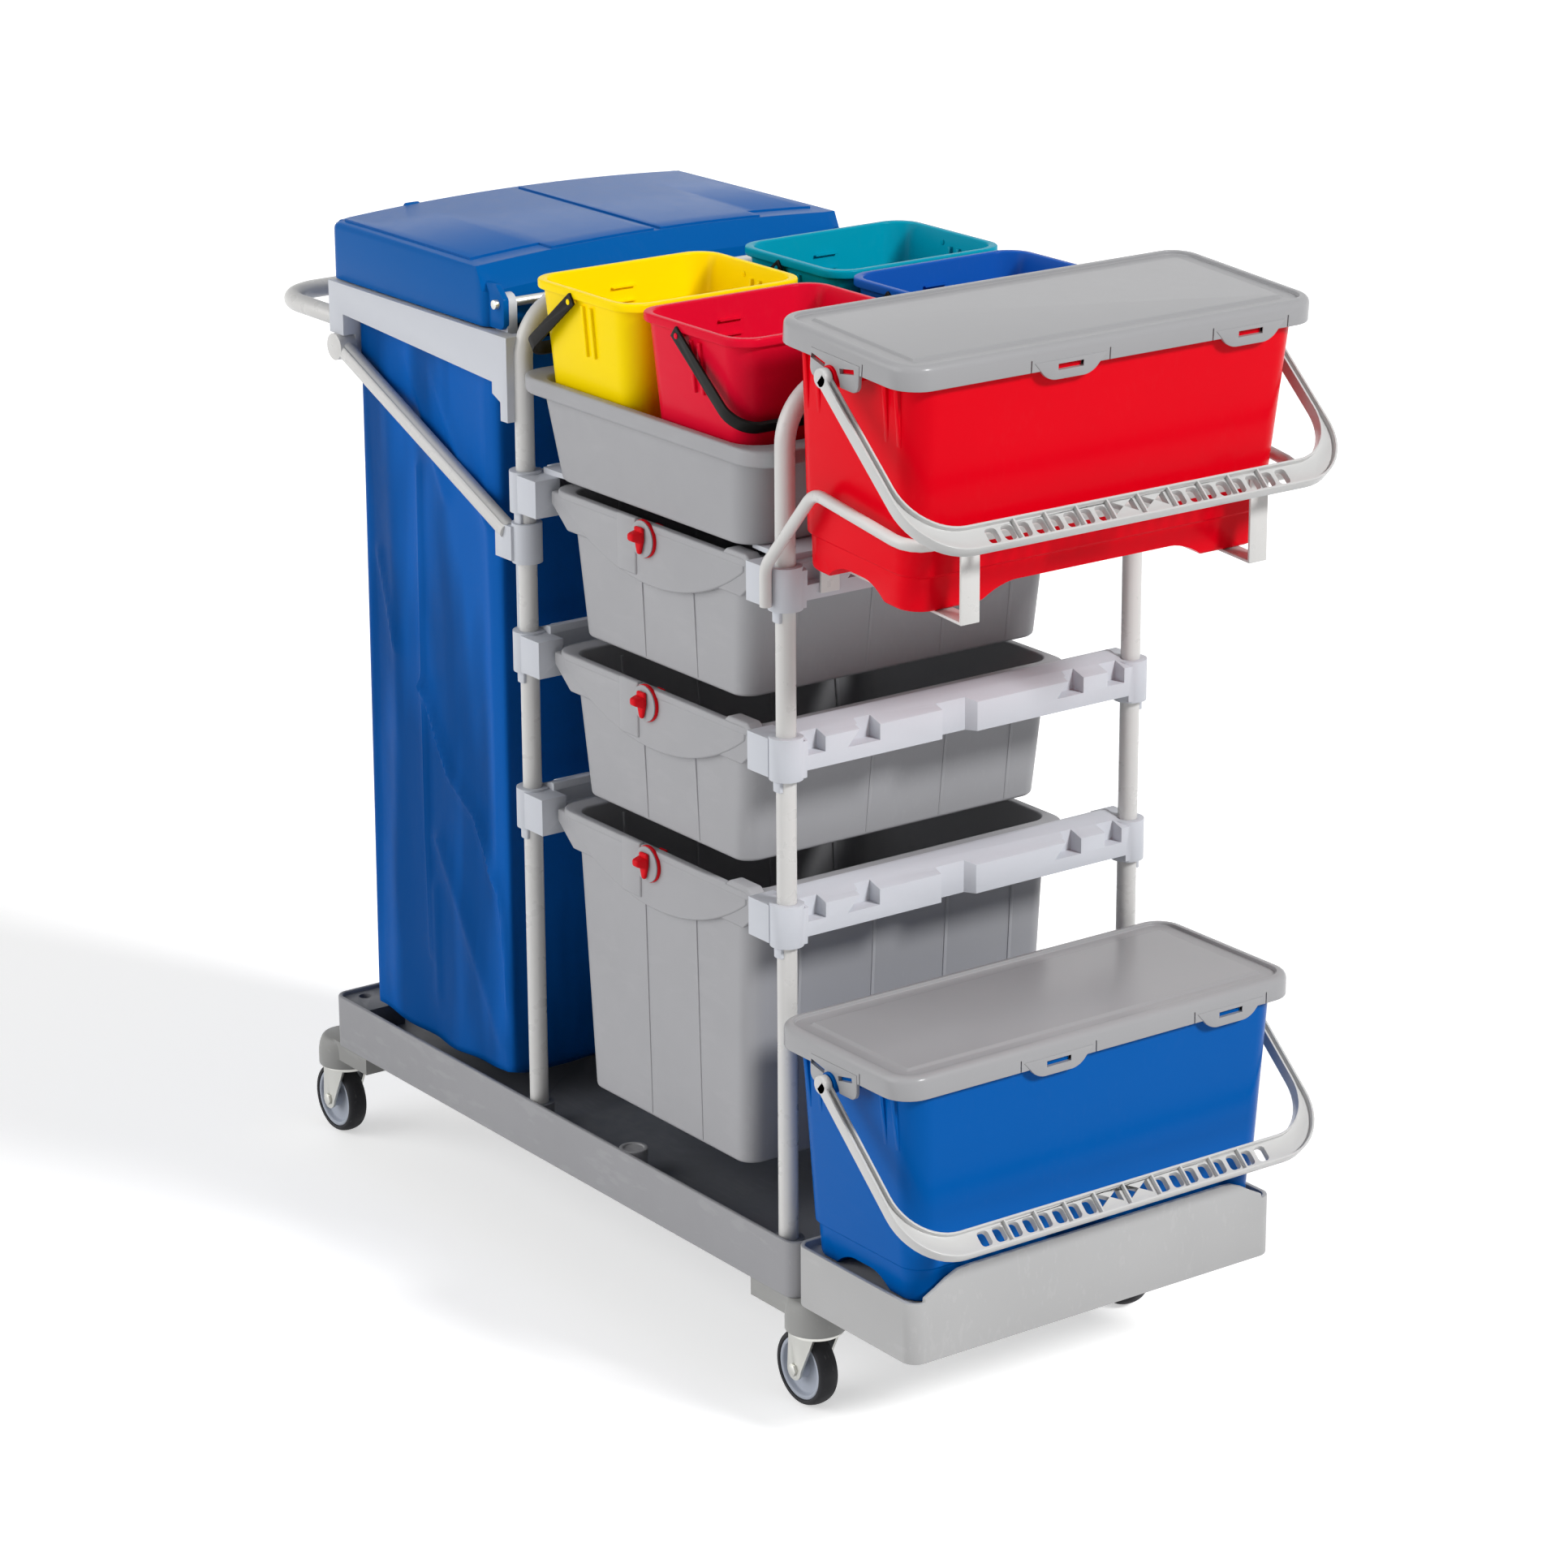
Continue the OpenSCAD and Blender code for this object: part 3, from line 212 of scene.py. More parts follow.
def runs(edge, axis):
    """True for an edge that lies mostly along an axis."""
    first, second = (vertex.co for vertex in edge.verts)
    return abs(first[axis] - second[axis]) > MOSTLY * (first - second).length


def round_edges(obj, test, width, segments):
    """Bevels the edges of the edited mesh that pass the test."""
    pick(obj, "EDGE", test)
    bpy.ops.mesh.bevel(offset=width, segments=segments, affect="EDGES")


def new_piece(name):
    """Takes the primitive just added, applies its place and names it."""
    obj = bpy.context.object
    obj.name = obj.data.name = name
    bpy.ops.object.transform_apply(location=True, rotation=True, scale=True)
    return obj


def mm(*sizes):
    """Sizes that are given in millimetres."""
    return tuple(size * MM for size in sizes)


def moved(point, *steps):
    """A point moved by steps in millimetres."""
    return tuple(start + step * MM for start, step in zip(point, steps))


def block(name, low, high, corner=0.0, steps=6):
    """A box between two corners, with its upright edges rounded."""
    deselect_all()
    low, high = Vector(low), Vector(high)
    bpy.ops.mesh.primitive_cube_add(size=1, location=(low + high) / 2)
    bpy.context.object.scale = high - low
    obj = new_piece(name)
    if corner:
        with editing(obj):
            round_edges(obj, lambda e: runs(e, UP), corner, steps)
    return obj


def block_at(point, name, low, high, corner=0.0, steps=6):
    """A box whose corners are given in millimetres from a point."""
    return block(name, moved(point, *low), moved(point, *high), corner * MM, steps)


def drum(name, radius, start, end, sides=32):
    """A cylinder from one point to another."""
    deselect_all()
    start, end = Vector(start), Vector(end)
    turn = Vector((0, 0, 1)).rotation_difference(end - start).to_euler()
    bpy.ops.mesh.primitive_cylinder_add(vertices=sides, radius=radius, depth=(end - start).length,
                                        location=(start + end) / 2, rotation=turn)
    return new_piece(name)


def drum_at(point, name, radius, start, end, sides=32):
    """A cylinder whose ends are given in millimetres from a point."""
    return drum(name, radius * MM, moved(point, *start), moved(point, *end), sides)


def extrude(x=0.0, y=0.0, z=0.0):
    bpy.ops.mesh.extrude_region_move(TRANSFORM_OT_translate={"value": (x, y, z)})


def shrink(obj, test, x=1.0, y=1.0, z=1.0, about=(0, 0, 0)):
    """Scales the points that pass the test about a point."""
    pick(obj, "VERT", test)
    bpy.ops.transform.resize(value=(x, y, z), center_override=about)


def shift(obj, test, x=0.0, y=0.0, z=0.0):
    pick(obj, "VERT", test)
    bpy.ops.transform.translate(value=(x, y, z))


def slice_at(obj, point, normal):
    """Adds a loop of edges where a plane crosses the edited mesh."""
    bpy.ops.mesh.select_all(action="SELECT")
    bpy.ops.mesh.bisect(plane_co=point, plane_no=normal)


def mirror_to(side):
    """Mirrors the edited mesh across the cart where side is -1."""
    bpy.ops.mesh.select_all(action="SELECT")
    bpy.ops.transform.resize(value=(1, side, 1), center_override=ORIGIN)
    bpy.ops.mesh.normals_make_consistent(inside=False)


def tub(name, base, height, foot, top, corner, wall, floor, rim, rim_h):
    """An open tapered vessel on the middle of its base, with x and y sizes for its foot, top and rim."""
    x, y, z = base
    half_x, half_y = top[0] / 2, top[1] / 2
    obj = block(name, (x - half_x, y - half_y, z), (x + half_x, y + half_y, z + height - rim_h), corner, 8)

    def scale_from(now, then):
        bpy.ops.transform.resize(value=(then[0] / now[0], then[1] / now[1], 1), center_override=base)

    mouth = (top[0] - 2 * wall, top[1] - 2 * wall)
    with editing(obj):
        pick(obj, "VERT", lambda v: v.co.z < z + SLACK)
        scale_from(top, foot)
        round_edges(obj, lambda e: all(v.co.z < z + SLACK for v in e.verts), 4 * MM, 3)
        pick(obj, "FACE", lambda f: f.normal.z > MOSTLY)
        extrude()
        scale_from(top, rim)
        extrude(z=rim_h)
        extrude()
        scale_from(rim, mouth)
        extrude(z=floor - height)
        scale_from(mouth, (foot[0] - 2 * wall, foot[1] - 2 * wall))
    return obj


def join(obj, *others):
    make_active(obj)
    for other in others:
        other.select_set(True)
    bpy.ops.object.join()
    return obj


def shape_with(obj, tool, operation="DIFFERENCE"):
    """Cuts a piece with another shape, or keeps only what they share."""
    make_active(obj)
    modifier = obj.modifiers.new("shape", "BOOLEAN")
    modifier.object = tool
    modifier.operation = operation
    modifier.solver = "EXACT"
    bpy.ops.object.modifier_apply(modifier=modifier.name)
    bpy.data.objects.remove(tool)
    return obj


def copy_to(obj, name, matrix):
    """A copy with a mesh of its own, moved by the matrix."""
    copy = bpy.data.objects.new(name, obj.data.copy())
    copy.data.name = name
    bpy.context.scene.collection.objects.link(copy)
    copy.data.transform(matrix)
    return copy


def joint(name):
    return next(item for item in frame["record"]["behaviour"]["joints"] if item["name"] == name)


def soften(obj, width, segments=2):
    """Rounds the sharp edges and shades the piece smooth."""
    make_active(obj)
    bevel = obj.modifiers.new("edges", "BEVEL")
    bevel.width = width
    bevel.segments = segments
    bevel.limit_method = "ANGLE"
    bevel.angle_limit = SHARP
    bevel.use_clamp_overlap = True
    bpy.ops.object.modifier_apply(modifier=bevel.name)
    bpy.ops.object.shade_smooth_by_angle(angle=SHARP)
    return obj


def dress(obj, finish, body, slot, *nodes):
    """Gives a finished piece its material, the body it rides on and the nodes it stands for."""
    obj.data.materials.clear()
    obj.data.materials.append(finish)
    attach(obj, body)
    if nodes:
        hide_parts(*nodes)
    return obj


def box_of(node):
    """Lowest and highest corner of a CAD node."""
    return [Vector(corner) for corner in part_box(node)]


def body_of(node):
    bodies = frame["record"]["behaviour"]["bodies"]
    return next(body for body, members in bodies.items() if node in members)


def slot_of(node):
    return next(part["material_slot"] for part in frame["record"]["subparts"] if part["node"] == node)


def merged_copy(node):
    """A copy of a CAD node with its loose triangles joined."""
    obj = bpy.data.objects.new(node + ".finished", frame["nodes"][node].data.copy())
    bpy.context.scene.collection.objects.link(obj)
    with editing(obj):
        bpy.ops.mesh.select_all(action="SELECT")
        bpy.ops.mesh.customdata_custom_splitnormals_clear()
        bpy.ops.mesh.remove_doubles(threshold=bpy.context.scene.cart_sizes.merge)
        bpy.ops.mesh.dissolve_limited(angle_limit=math.radians(0.5))
    return obj


def stand_for(node, obj, finish, edge=None):
    """Rounds the edges of a piece that takes a CAD node's place, and dresses it."""
    soften(obj, bpy.context.scene.cart_sizes.edge if edge is None else edge)
    return dress(obj, finish, body_of(node), slot_of(node), node)


def refine(node, finish, edge=None):
    """A merged copy of a CAD node, with rounded edges and smooth shading, that stands for it."""
    return stand_for(node, merged_copy(node), finish, edge)


# Finishes


def node_group(name, inputs, outputs):
    """An empty shader node group with float and colour sockets."""
    group = bpy.data.node_groups.new(name, "ShaderNodeTree")
    for label, kind, default in inputs:
        socket = group.interface.new_socket(label, in_out="INPUT", socket_type="NodeSocket" + kind)
        socket.default_value = default
    for label, kind in outputs:
        group.interface.new_socket(label, in_out="OUTPUT", socket_type="NodeSocket" + kind)
    return group, group.nodes.new("NodeGroupInput"), group.nodes.new("NodeGroupOutput")


def feed(tree, socket, value):
    """Links a socket to another one, or sets it to a number or colour."""
    if isinstance(value, bpy.types.NodeSocket):
        tree.links.new(value, socket)
    else:
        socket.default_value = value


def add_node(tree, kind, **inputs):
    """A shader node with its inputs fed by name."""
    node = tree.nodes.new("ShaderNode" + kind)
    for label, value in inputs.items():
        feed(tree, node.inputs[label.replace("_", " ")], value)
    return node


def noise(tree, place, scale, detail):
    """Fractal noise on the given coordinates."""
    return add_node(tree, "TexNoise", Vector=place, Scale=scale, Detail=detail).outputs["Fac"]


def spread(tree, value, low, high, start=0.3, end=0.7):
    """Maps the middle of a noise's range to a range of its own."""
    node = add_node(tree, "MapRange", Value=value, From_Min=start, From_Max=end, To_Min=low, To_Max=high)
    return node.outputs["Result"]


def stretched(tree, place, scale):
    """Coordinates stretched by a scale along each axis."""
    return add_node(tree, "Mapping", Vector=place, Scale=scale).outputs["Vector"]


def calculate(tree, operation, first, second, clamp=False):
    """A sum on two values, each a number or a socket."""
    node = add_node(tree, "Math")
    node.operation = operation
    node.use_clamp = clamp
    for socket, value in zip(node.inputs, (first, second)):
        feed(tree, socket, value)
    return node.outputs["Value"]


def blend(tree, share, first, second):
    """A mix of two colours, given as sockets or values."""
    node = add_node(tree, "Mix", Factor=share)
    node.data_type = "RGBA"
    for label, colour in (("A", first), ("B", second)):
        feed(tree, next(item for item in node.inputs if item.name == label and item.type == "RGBA"), colour)
    return next(item for item in node.outputs if item.type == "RGBA")


def moulded_group():
    """Grain, tone, scuffs and gloss changes of a moulded or coated surface."""
    group, given, out = node_group(
        "Moulded surface",
        [("Color", "Color", (0.5, 0.5, 0.5, 1)), ("Grain", "Float", 1400.0), ("Tone", "Float", 0.05),
         ("Scuff", "Float", 0.1), ("Rough Low", "Float", 0.35), ("Rough High", "Float", 0.5)],
        SURFACE_OUTPUTS)
    value = given.outputs
    place = add_node(group, "TexCoord").outputs["Object"]
    darkest = calculate(group, "SUBTRACT", 1.0, value["Tone"])
    shade = spread(group, noise(group, place, 7.0, 3.0), darkest, 1.0)
    tone = add_node(group, "HueSaturation", Value=shade, Color=value["Color"]).outputs["Color"]
    streak = noise(group, stretched(group, place, (26, 210, 90)), 1.0, 6.0)
    patch = calculate(group, "ADD", noise(group, place, 11.0, 2.0), 0.55)
    mark = spread(group, calculate(group, "MULTIPLY", streak, patch), 0.0, 1.0, 0.62, 0.72)
    scuff = calculate(group, "MULTIPLY", mark, value["Scuff"])
    gloss = spread(group, noise(group, place, 60.0, 4.0), value["Rough Low"], value["Rough High"])
    dull = calculate(group, "MULTIPLY", scuff, 0.3)
    feed(group, out.inputs["Color"], blend(group, scuff, tone, (0.8, 0.8, 0.8, 1)))
    feed(group, out.inputs["Roughness"], calculate(group, "ADD", gloss, dull))
    feed(group, out.inputs["Height"], noise(group, place, value["Grain"], 2.0))
    return group


def cloth_group():
    """Weave, crinkles and painted sheen of a coated cloth that hangs upright."""
    group, given, out = node_group(
        "Coated cloth",
        [("Color", "Color", (0.0, 0.1, 0.4, 1)), ("Light", "Color", (0.0, 0.2, 0.5, 1)),
         ("Threads", "Float", 5200.0)],
        SURFACE_OUTPUTS)
    value = given.outputs
    place = add_node(group, "TexCoord").outputs["Object"]
    axes = add_node(group, "SeparateXYZ", Vector=place).outputs
    level = calculate(group, "ADD", axes["X"], axes["Y"])
    warp, weft = (calculate(group, "SINE", calculate(group, "MULTIPLY", way, value["Threads"]), 0.0)
                  for way in (level, axes["Z"]))
    weave = calculate(group, "MULTIPLY", calculate(group, "MULTIPLY", warp, weft), 0.06)
    crinkle = noise(group, stretched(group, place, (24, 24, 7)), 1.0, 5.0)
    # Painted sheen: broad upright streaks blend the cloth towards its lighter Light colour.
    broad = noise(group, stretched(group, place, (9, 9, 1.6)), 1.0, 3.0)
    shine = spread(group, spread(group, broad, 0.0, 1.0), 0.0, 1.0)
    feed(group, out.inputs["Color"], blend(group, shine, value["Color"], value["Light"]))
    feed(group, out.inputs["Roughness"], spread(group, crinkle, 0.3, 0.46))
    feed(group, out.inputs["Height"], calculate(group, "ADD", weave, crinkle))
    return group


def material_on(name, group, constants, bump, depth, sockets):
    """A Principled material fed by a shared surface group, with a relief from its height."""
    material = bpy.data.materials.new(name)
    material.use_nodes = True
    tree = material.node_tree
    shader = tree.nodes["Principled BSDF"].inputs
    surface = add_node(tree, "Group")
    surface.node_tree = group
    for label, value in constants.items():
        surface.inputs[label].default_value = value
    relief = add_node(tree, "Bump", Strength=bump, Distance=depth, Height=surface.outputs["Height"])
    feed(tree, shader["Base Color"], surface.outputs["Color"])
    feed(tree, shader["Roughness"], surface.outputs["Roughness"])
    feed(tree, shader["Normal"], relief.outputs["Normal"])
    for label, value in sockets.items():
        shader[label].default_value = value
    return material


def finish(name, colour, grain=1400.0, bump=0.04, rough=(0.35, 0.5), tone=0.05, scuff=0.02, **sockets):
    """A moulded, coated or plated finish."""
    group = bpy.data.node_groups.get("Moulded surface") or moulded_group()
    constants = {"Color": (*colour, 1.0), "Grain": grain, "Tone": tone, "Scuff": scuff,
                 "Rough Low": rough[0], "Rough High": rough[1]}
    return material_on(name, group, constants, bump, 0.4 * MM, sockets)


def cloth_finish(name, colour):
    """The bag's coated cloth, with painted highlights in its own colour."""
    group = bpy.data.node_groups.get("Coated cloth") or cloth_group()
    # Colour of the painted highlights, lighter than the cloth.
    light = tuple(min(1.0, 1.75 * value + 0.004) for value in colour)
    constants = {"Color": (*colour, 1.0), "Light": (*light, 1.0)}
    return material_on(name, group, constants, 0.35, 2.5 * MM, {"IOR": 1.1})


def finish_named(name):
    """The cart's finish of that name, made when first asked for."""
    material = bpy.data.materials.get(name + " finish")
    if material:
        return material
    colour = getattr(bpy.context.scene.cart_colours, name)
    if name == "bag":
        return cloth_finish(name + " finish", colour)
    glossy = {"rough": (0.23, 0.27), "bump": 0.02, "tone": 0.03, "scuff": 0.002, "IOR": 1.13}
    satin = {"rough": (0.36, 0.48), "bump": 0.05, "tone": 0.05, "IOR": 1.3}
    makers = {
        "zinc": {"rough": (0.28, 0.42), "bump": 0.02, "Metallic": 1.0},
        "tyre": {"rough": (0.55, 0.75), "bump": 0.12, "tone": 0.12, "scuff": 0.05, "IOR": 1.3},
        "tube": {"rough": (0.25, 0.36), "bump": 0.02, "tone": 0.02},
        "bail": {"rough": (0.4, 0.5), "bump": 0.06, "scuff": 0.002, "IOR": 1.2},
        "deck": {**satin, "scuff": 0.05},
        "platform": {**satin, "scuff": 0.05},
        "housing": {**satin, "scuff": 0.05},
    }
    for shiny in (*PAILS, "upper", "lower", "lock", "lid"):
        makers[shiny] = glossy
    for smooth in ("bucket_lid", "grip"):
        makers[smooth] = {**glossy, "IOR": 1.35}
    return finish(name + " finish", colour, **makers.get(name, satin))


# Operators, one for each group of pieces


class CART_OT_frame_tubes(bpy.types.Operator):
    """Hoops, push handle and braces"""
    bl_idname = "cart.frame_tubes"
    bl_label = "Frame tubes"

    def execute(self, context):
        for node in ("rear_hoop", "front_hoop", "push_handle"):
            refine(node, finish_named("tube"))
        for node in ("brace_near", "brace_far"):
            brace = merged_copy(node)
            make_active(brace)
            coat = brace.modifiers.new("coat", "DISPLACE")
            coat.strength = 2 * MM
            coat.mid_level = 0.0
            bpy.ops.object.modifier_apply(modifier=coat.name)
            stand_for(node, brace, finish_named("tube"))
        refine("hinge_rod", finish_named("zinc"))
        return {"FINISHED"}


class CART_OT_castors(bpy.types.Operator):
    """Castor housings, forks, axles, hubs and tyres"""
    bl_idname = "cart.castors"
    bl_label = "Castors"

    def execute(self, context):
        refine("castor_housings", finish_named("housing"))
        for corner in CORNERS:
            refine("castor_fork_" + corner, finish_named("zinc"))
            refine("castor_axle_" + corner, finish_named("zinc"))
            refine("wheel_hub_" + corner, finish_named("hub"))
            refine("tyre_" + corner, finish_named("tyre"))
        return {"FINISHED"}


class CART_OT_deck(bpy.types.Operator):
    """Base deck and bucket platform"""
    bl_idname = "cart.deck"
    bl_label = "Deck and platform"

    def execute(self, context):
        self.add_deck()
        # The sockets take the well colour, with its painted shade.
        refine("deck_sockets", finish_named("well"))
        refine("bucket_platform", finish_named("platform"))
        return {"FINISHED"}

    def add_deck(self):
        """One rim round the floor panel and corner blocks, with a round button by its near wall."""
        low, high = box_of("base_deck")
        wall, over = Vector((5, 5, 0)) * MM, Vector((0, 0, 0.1))
        rim = block("base_deck.rim", low, high, 16 * MM, 8)
        shape_with(rim, block("well", low + wall - over, high - wall + over, 11 * MM, 8))
        soften(rim, 1.6 * MM, 3)
        x, y = 58 * MM, low.y + 17 * MM
        button = drum("button", 15 * MM, (x, y, 153 * MM), (x, y, high.z), 40)
        with editing(button):
            pick(button, "FACE", lambda f: f.normal.z > MOSTLY)
            bpy.ops.mesh.inset(thickness=4 * MM)
            extrude(z=-1.5 * MM)
        soften(button, 1.2 * MM, 3)
        dress(join(rim, button), finish_named("deck"), body_of("base_deck"), "deck")
        # The floor panel inside the rim takes the well colour, with its painted shade.
        floor = merged_copy("base_deck")
        with editing(floor):
            pick(floor, "VERT", lambda v: v.co.z > high.z - 1 * MM)
            bpy.ops.mesh.select_linked()
            bpy.ops.mesh.delete(type="VERT")
        stand_for("base_deck", floor, finish_named("well"))


class CART_OT_rails(bpy.types.Operator):
    """Cross rails and their clips"""
    bl_idname = "cart.rails"
    bl_label = "Rails"

    def execute(self, context):
        for end, out in zip(ENDS, (-1, 1)):
            for level in LEVELS:
                node = f"{end}_rail_{level}"
                rail = merged_copy(node)
                shape_with(rail, self.pockets(node, out))
                stand_for(node, rail, finish_named("rail"), edge=1.6 * MM)
        refine("rail_clips", finish_named("rail"))
        return {"FINISHED"}

    def pockets(self, node, out):
        """The cuts in a rail's lip: a notch by each clamp, two slanted pockets and the gap in its middle."""
        low, high = box_of(node)
        face = high.x - 2 * MM if out > 0 else low.x + 2 * MM
        top = low.z + 39 * MM

        def cutter(start, end, depth, foot):
            ends = sorted((face - out * depth * MM, face + out * 9 * MM))
            return block("cutter", (ends[0], start * MM, foot), (ends[1], end * MM, top + 14 * MM))

        tools = [cutter(-200, -179, 15, top - 15 * MM), cutter(173, 195, 15, top - 15 * MM)]
        for start, end in ((-152, -113), (108, 142)):
            pocket = cutter(start, end, 17, top - 16 * MM)
            with editing(pocket):
                shift(pocket, lambda v: v.co.y < (start + 1) * MM and v.co.z > top, y=27 * MM)
            tools.append(pocket)
        gap = cutter(-36.5, 0, 11, low.z + 5 * MM)
        with editing(gap):
            shift(gap, lambda v: v.co.y > -1 * MM and (v.co.x - face) * out > 0, y=13 * MM)
        tools.append(gap)
        return join(*tools)


class CART_OT_pails(bpy.types.Operator):
    """Top tray, pails and bails"""
    bl_idname = "cart.pails"
    bl_label = "Tray and pails"

    def execute(self, context):
        self.add_tray()
        pattern = self.model_pail()
        for paint in PAILS:
            node = "pail_" + paint
            low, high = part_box(node)
            place = Matrix.Translation(((low[0] + high[0]) / 2, (low[1] + high[1]) / 2, low[2]))
            pail = copy_to(pattern, node + ".finished", place)
            dress(pail, finish_named(paint), node, node, node)
            refine("bail_" + paint, finish_named("bail"), edge=0.6 * MM)
        bpy.data.objects.remove(pattern)
        return {"FINISHED"}

    def add_tray(self):
        low, high = box_of("top_tray")
        middle = (low + high) / 2
        rim = (high.x - low.x, high.y - low.y)
        tray = tub("top_tray.finished", (middle.x, middle.y, low.z), high.z - low.z, mm(340, 438),
                   mm(372, 458), 32 * MM, 3 * MM, 3 * MM, rim, 17 * MM)
        soften(tray, 5 * MM, 4)
        dress(tray, finish_named("tray"), "frame", "tray", "top_tray")

    def model_pail(self):
        """A pail standing at the origin, with ribs and pins by its bail and marks inside."""
        pail = tub("pail", ORIGIN, 204 * MM, mm(144, 175), mm(168, 209), 27 * MM, 2.5 * MM, 3 * MM,
                   mm(178, 219), 9 * MM)
        soften(pail, 1.8 * MM, 3)
        extras = []
        for side in (-1, 1):
            for x in mm(4, 18):
                rib = block_at((x, 0, 0), "rib", (-2.5, 97, 138), (2.5, 107, 190))
                with editing(rib):
                    shift(rib, lambda v: v.co.z < 150 * MM, y=-4.5 * MM)
                    mirror_to(side)
                extras.append(soften(rib, 1 * MM))
            pin = drum_at(ORIGIN, "pin", 3, (-11, side * 100, 192), (-11, side * 113, 192))
            extras.append(soften(pin, 0.6 * MM))
        for height in (150, 165, 180):
            tick = block_at(ORIGIN, "tick", (-83.5, -14, height), (-76, 14, height + 1.5))
            extras.append(soften(tick, 0.4 * MM))
        return join(pail, *extras)


class CART_OT_drawers(bpy.types.Operator):
    """Drawers and their locks"""
    bl_idname = "cart.drawers"
    bl_label = "Drawers"

    def execute(self, context):
        for level in LEVELS:
            body, lock = f"drawer_{level}", f"drawer_lock_{level}"
            dress(self.model_drawer(level), finish_named("drawer"), body, "drawer", body)
            knob, seat, plate = self.model_lock(level)
            dress(knob, finish_named("lock"), lock, "lock", lock)
            dress(seat, finish_named("lock"), body, "lock")
            dress(plate, finish_named("tray"), body, "rail")
        return {"FINISHED"}

    def model_drawer(self, level):
        """A drawer with ears beside its front, a curved apron, a tab by the lock and a stop."""
        low, high = box_of(f"drawer_{level}")
        middle = (low.x + high.x) / 2
        near, far = low.y + 6 * MM, high.y - 6 * MM
        y = (near + far) / 2
        length = far - near
        top = high.z - 8 * MM
        brow = (middle, near, top)
        drawer = tub(f"drawer_{level}.finished", (middle, y, low.z), high.z - low.z,
                     (284 * MM, length - 12 * MM), (318 * MM, length), 22 * MM, 3 * MM, 3 * MM,
                     (358 * MM, length + 12 * MM), 8 * MM)
        soften(drawer, 2.5 * MM, 3)
        ears = block_at(brow, "ears", (-179, -4, -32), (179, 7, 4))
        with editing(ears):
            slice_at(ears, (0, 0, top - 8 * MM), (0, 0, 1))
            shrink(ears, lambda v: v.co.z < top - 25 * MM, x=150 / 179, about=(middle, 0, 0))
        soften(ears, 2 * MM, 3)
        apron = block_at(brow, "apron", (-158, -5.5, -60), (158, 2, 7))
        bowl = drum_at(brow, "bowl", 274, (0, -20, 218), (0, 20, 218), 160)
        shape_with(apron, bowl, "INTERSECT")
        soften(apron, 2.5 * MM, 3)
        x = joint(f"drawer_{level}_lock_turn")["pos_m"][0]
        tab = block_at((x, near, top), "tab", (-48, -7.5, -49), (-15, 0, 9.5))
        soften(tab, 2.2 * MM, 3)
        stop = block_at(brow, "stop", (118, -5, 4), (172, 12, 13))
        with editing(stop):
            shrink(stop, lambda v: v.co.z > top + 10 * MM, x=0.6, about=(middle + 145 * MM, 0, 0))
        soften(stop, 2.5 * MM, 3)
        return join(drawer, ears, apron, tab, stop, *self.model_ribs(middle, near, y, length, low.z, top))

    def model_ribs(self, middle, near, y, length, foot, top):
        """Upright step lines on the near face and both sides, following the draft of the walls."""
        knee = foot + 0.4 * (top - foot)
        ribs = []
        for x in mm(-28, 62):
            line = (middle + x, near)
            rib = block("rib", moved((*line, foot), 0, -0.8, 4), moved((*line, top), 3, 6, -20))
            with editing(rib):
                shift(rib, lambda v: v.co.z < knee, y=6 * MM)
            ribs.append(soften(rib, 0.7 * MM))
        for side in (-1, 1):
            for place in (-0.34, -0.1, 0.14, 0.36):
                edge = middle + side * 159 * MM
                line = (edge, y + place * length)
                rib = block("rib", moved((*line, foot), -6, 0, 4), moved((*line, top), 6, 4, -6))
                with editing(rib):
                    shrink(rib, lambda v: (v.co.x - edge) * side > 0, x=0.15, about=(edge, 0, 0))
                    shift(rib, lambda v: v.co.z < knee, x=-side * 17 * MM)
                ribs.append(soften(rib, 0.7 * MM))
        return ribs

    def model_lock(self, level):
        """Winged knob with its shaft and cam, the red seat behind it and the grey plate between."""
        _, high_y, high_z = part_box(f"drawer_lock_{level}")[1]
        x, _, z = joint(f"drawer_{level}_lock_turn")["pos_m"]
        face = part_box(f"drawer_{level}")[0][1]
        spot = (x, face, z)
        seat = drum_at(spot, f"drawer_{level}.seat", 19.4, (0, 1, 0), (0, -2.8, 0), 48)
        soften(seat, 0.6 * MM)
        plate = drum_at(spot, f"drawer_{level}.plate", 18.8, (0, -2.8, 0), (0, -4.6, 0), 48)
        soften(plate, 0.8 * MM)
        knob = block_at(spot, f"drawer_lock_{level}.finished", (-7, -9, -15), (7, -4.7, 13))
        with editing(knob):
            slice_at(knob, (0, 0, z), (0, 0, 1))
            shrink(knob, lambda v: v.co.z < z - 10 * MM, x=0.35, about=(x, 0, 0))
        soften(knob, 2 * MM, 3)
        fin = block_at(spot, "fin", (-9, -18, -4), (8, -7, 9))
        with editing(fin):
            shrink(fin, lambda v: v.co.y < face - 15 * MM, x=0.55, z=0.55, about=(x - 2 * MM, 0, z + 5 * MM))
        soften(fin, 2.4 * MM, 4)
        shaft = drum("shaft", 4 * MM, (x, face - 5 * MM, z), (x, high_y, z), 24)
        cam_top = min(z + 12 * MM, high_z)
        cam = block("cam", (x - 6 * MM, high_y - 3 * MM, z - 6 * MM), (x + 6 * MM, high_y, cam_top))
        soften(cam, 0.8 * MM)
        return join(knob, fin, shaft, cam), seat, plate


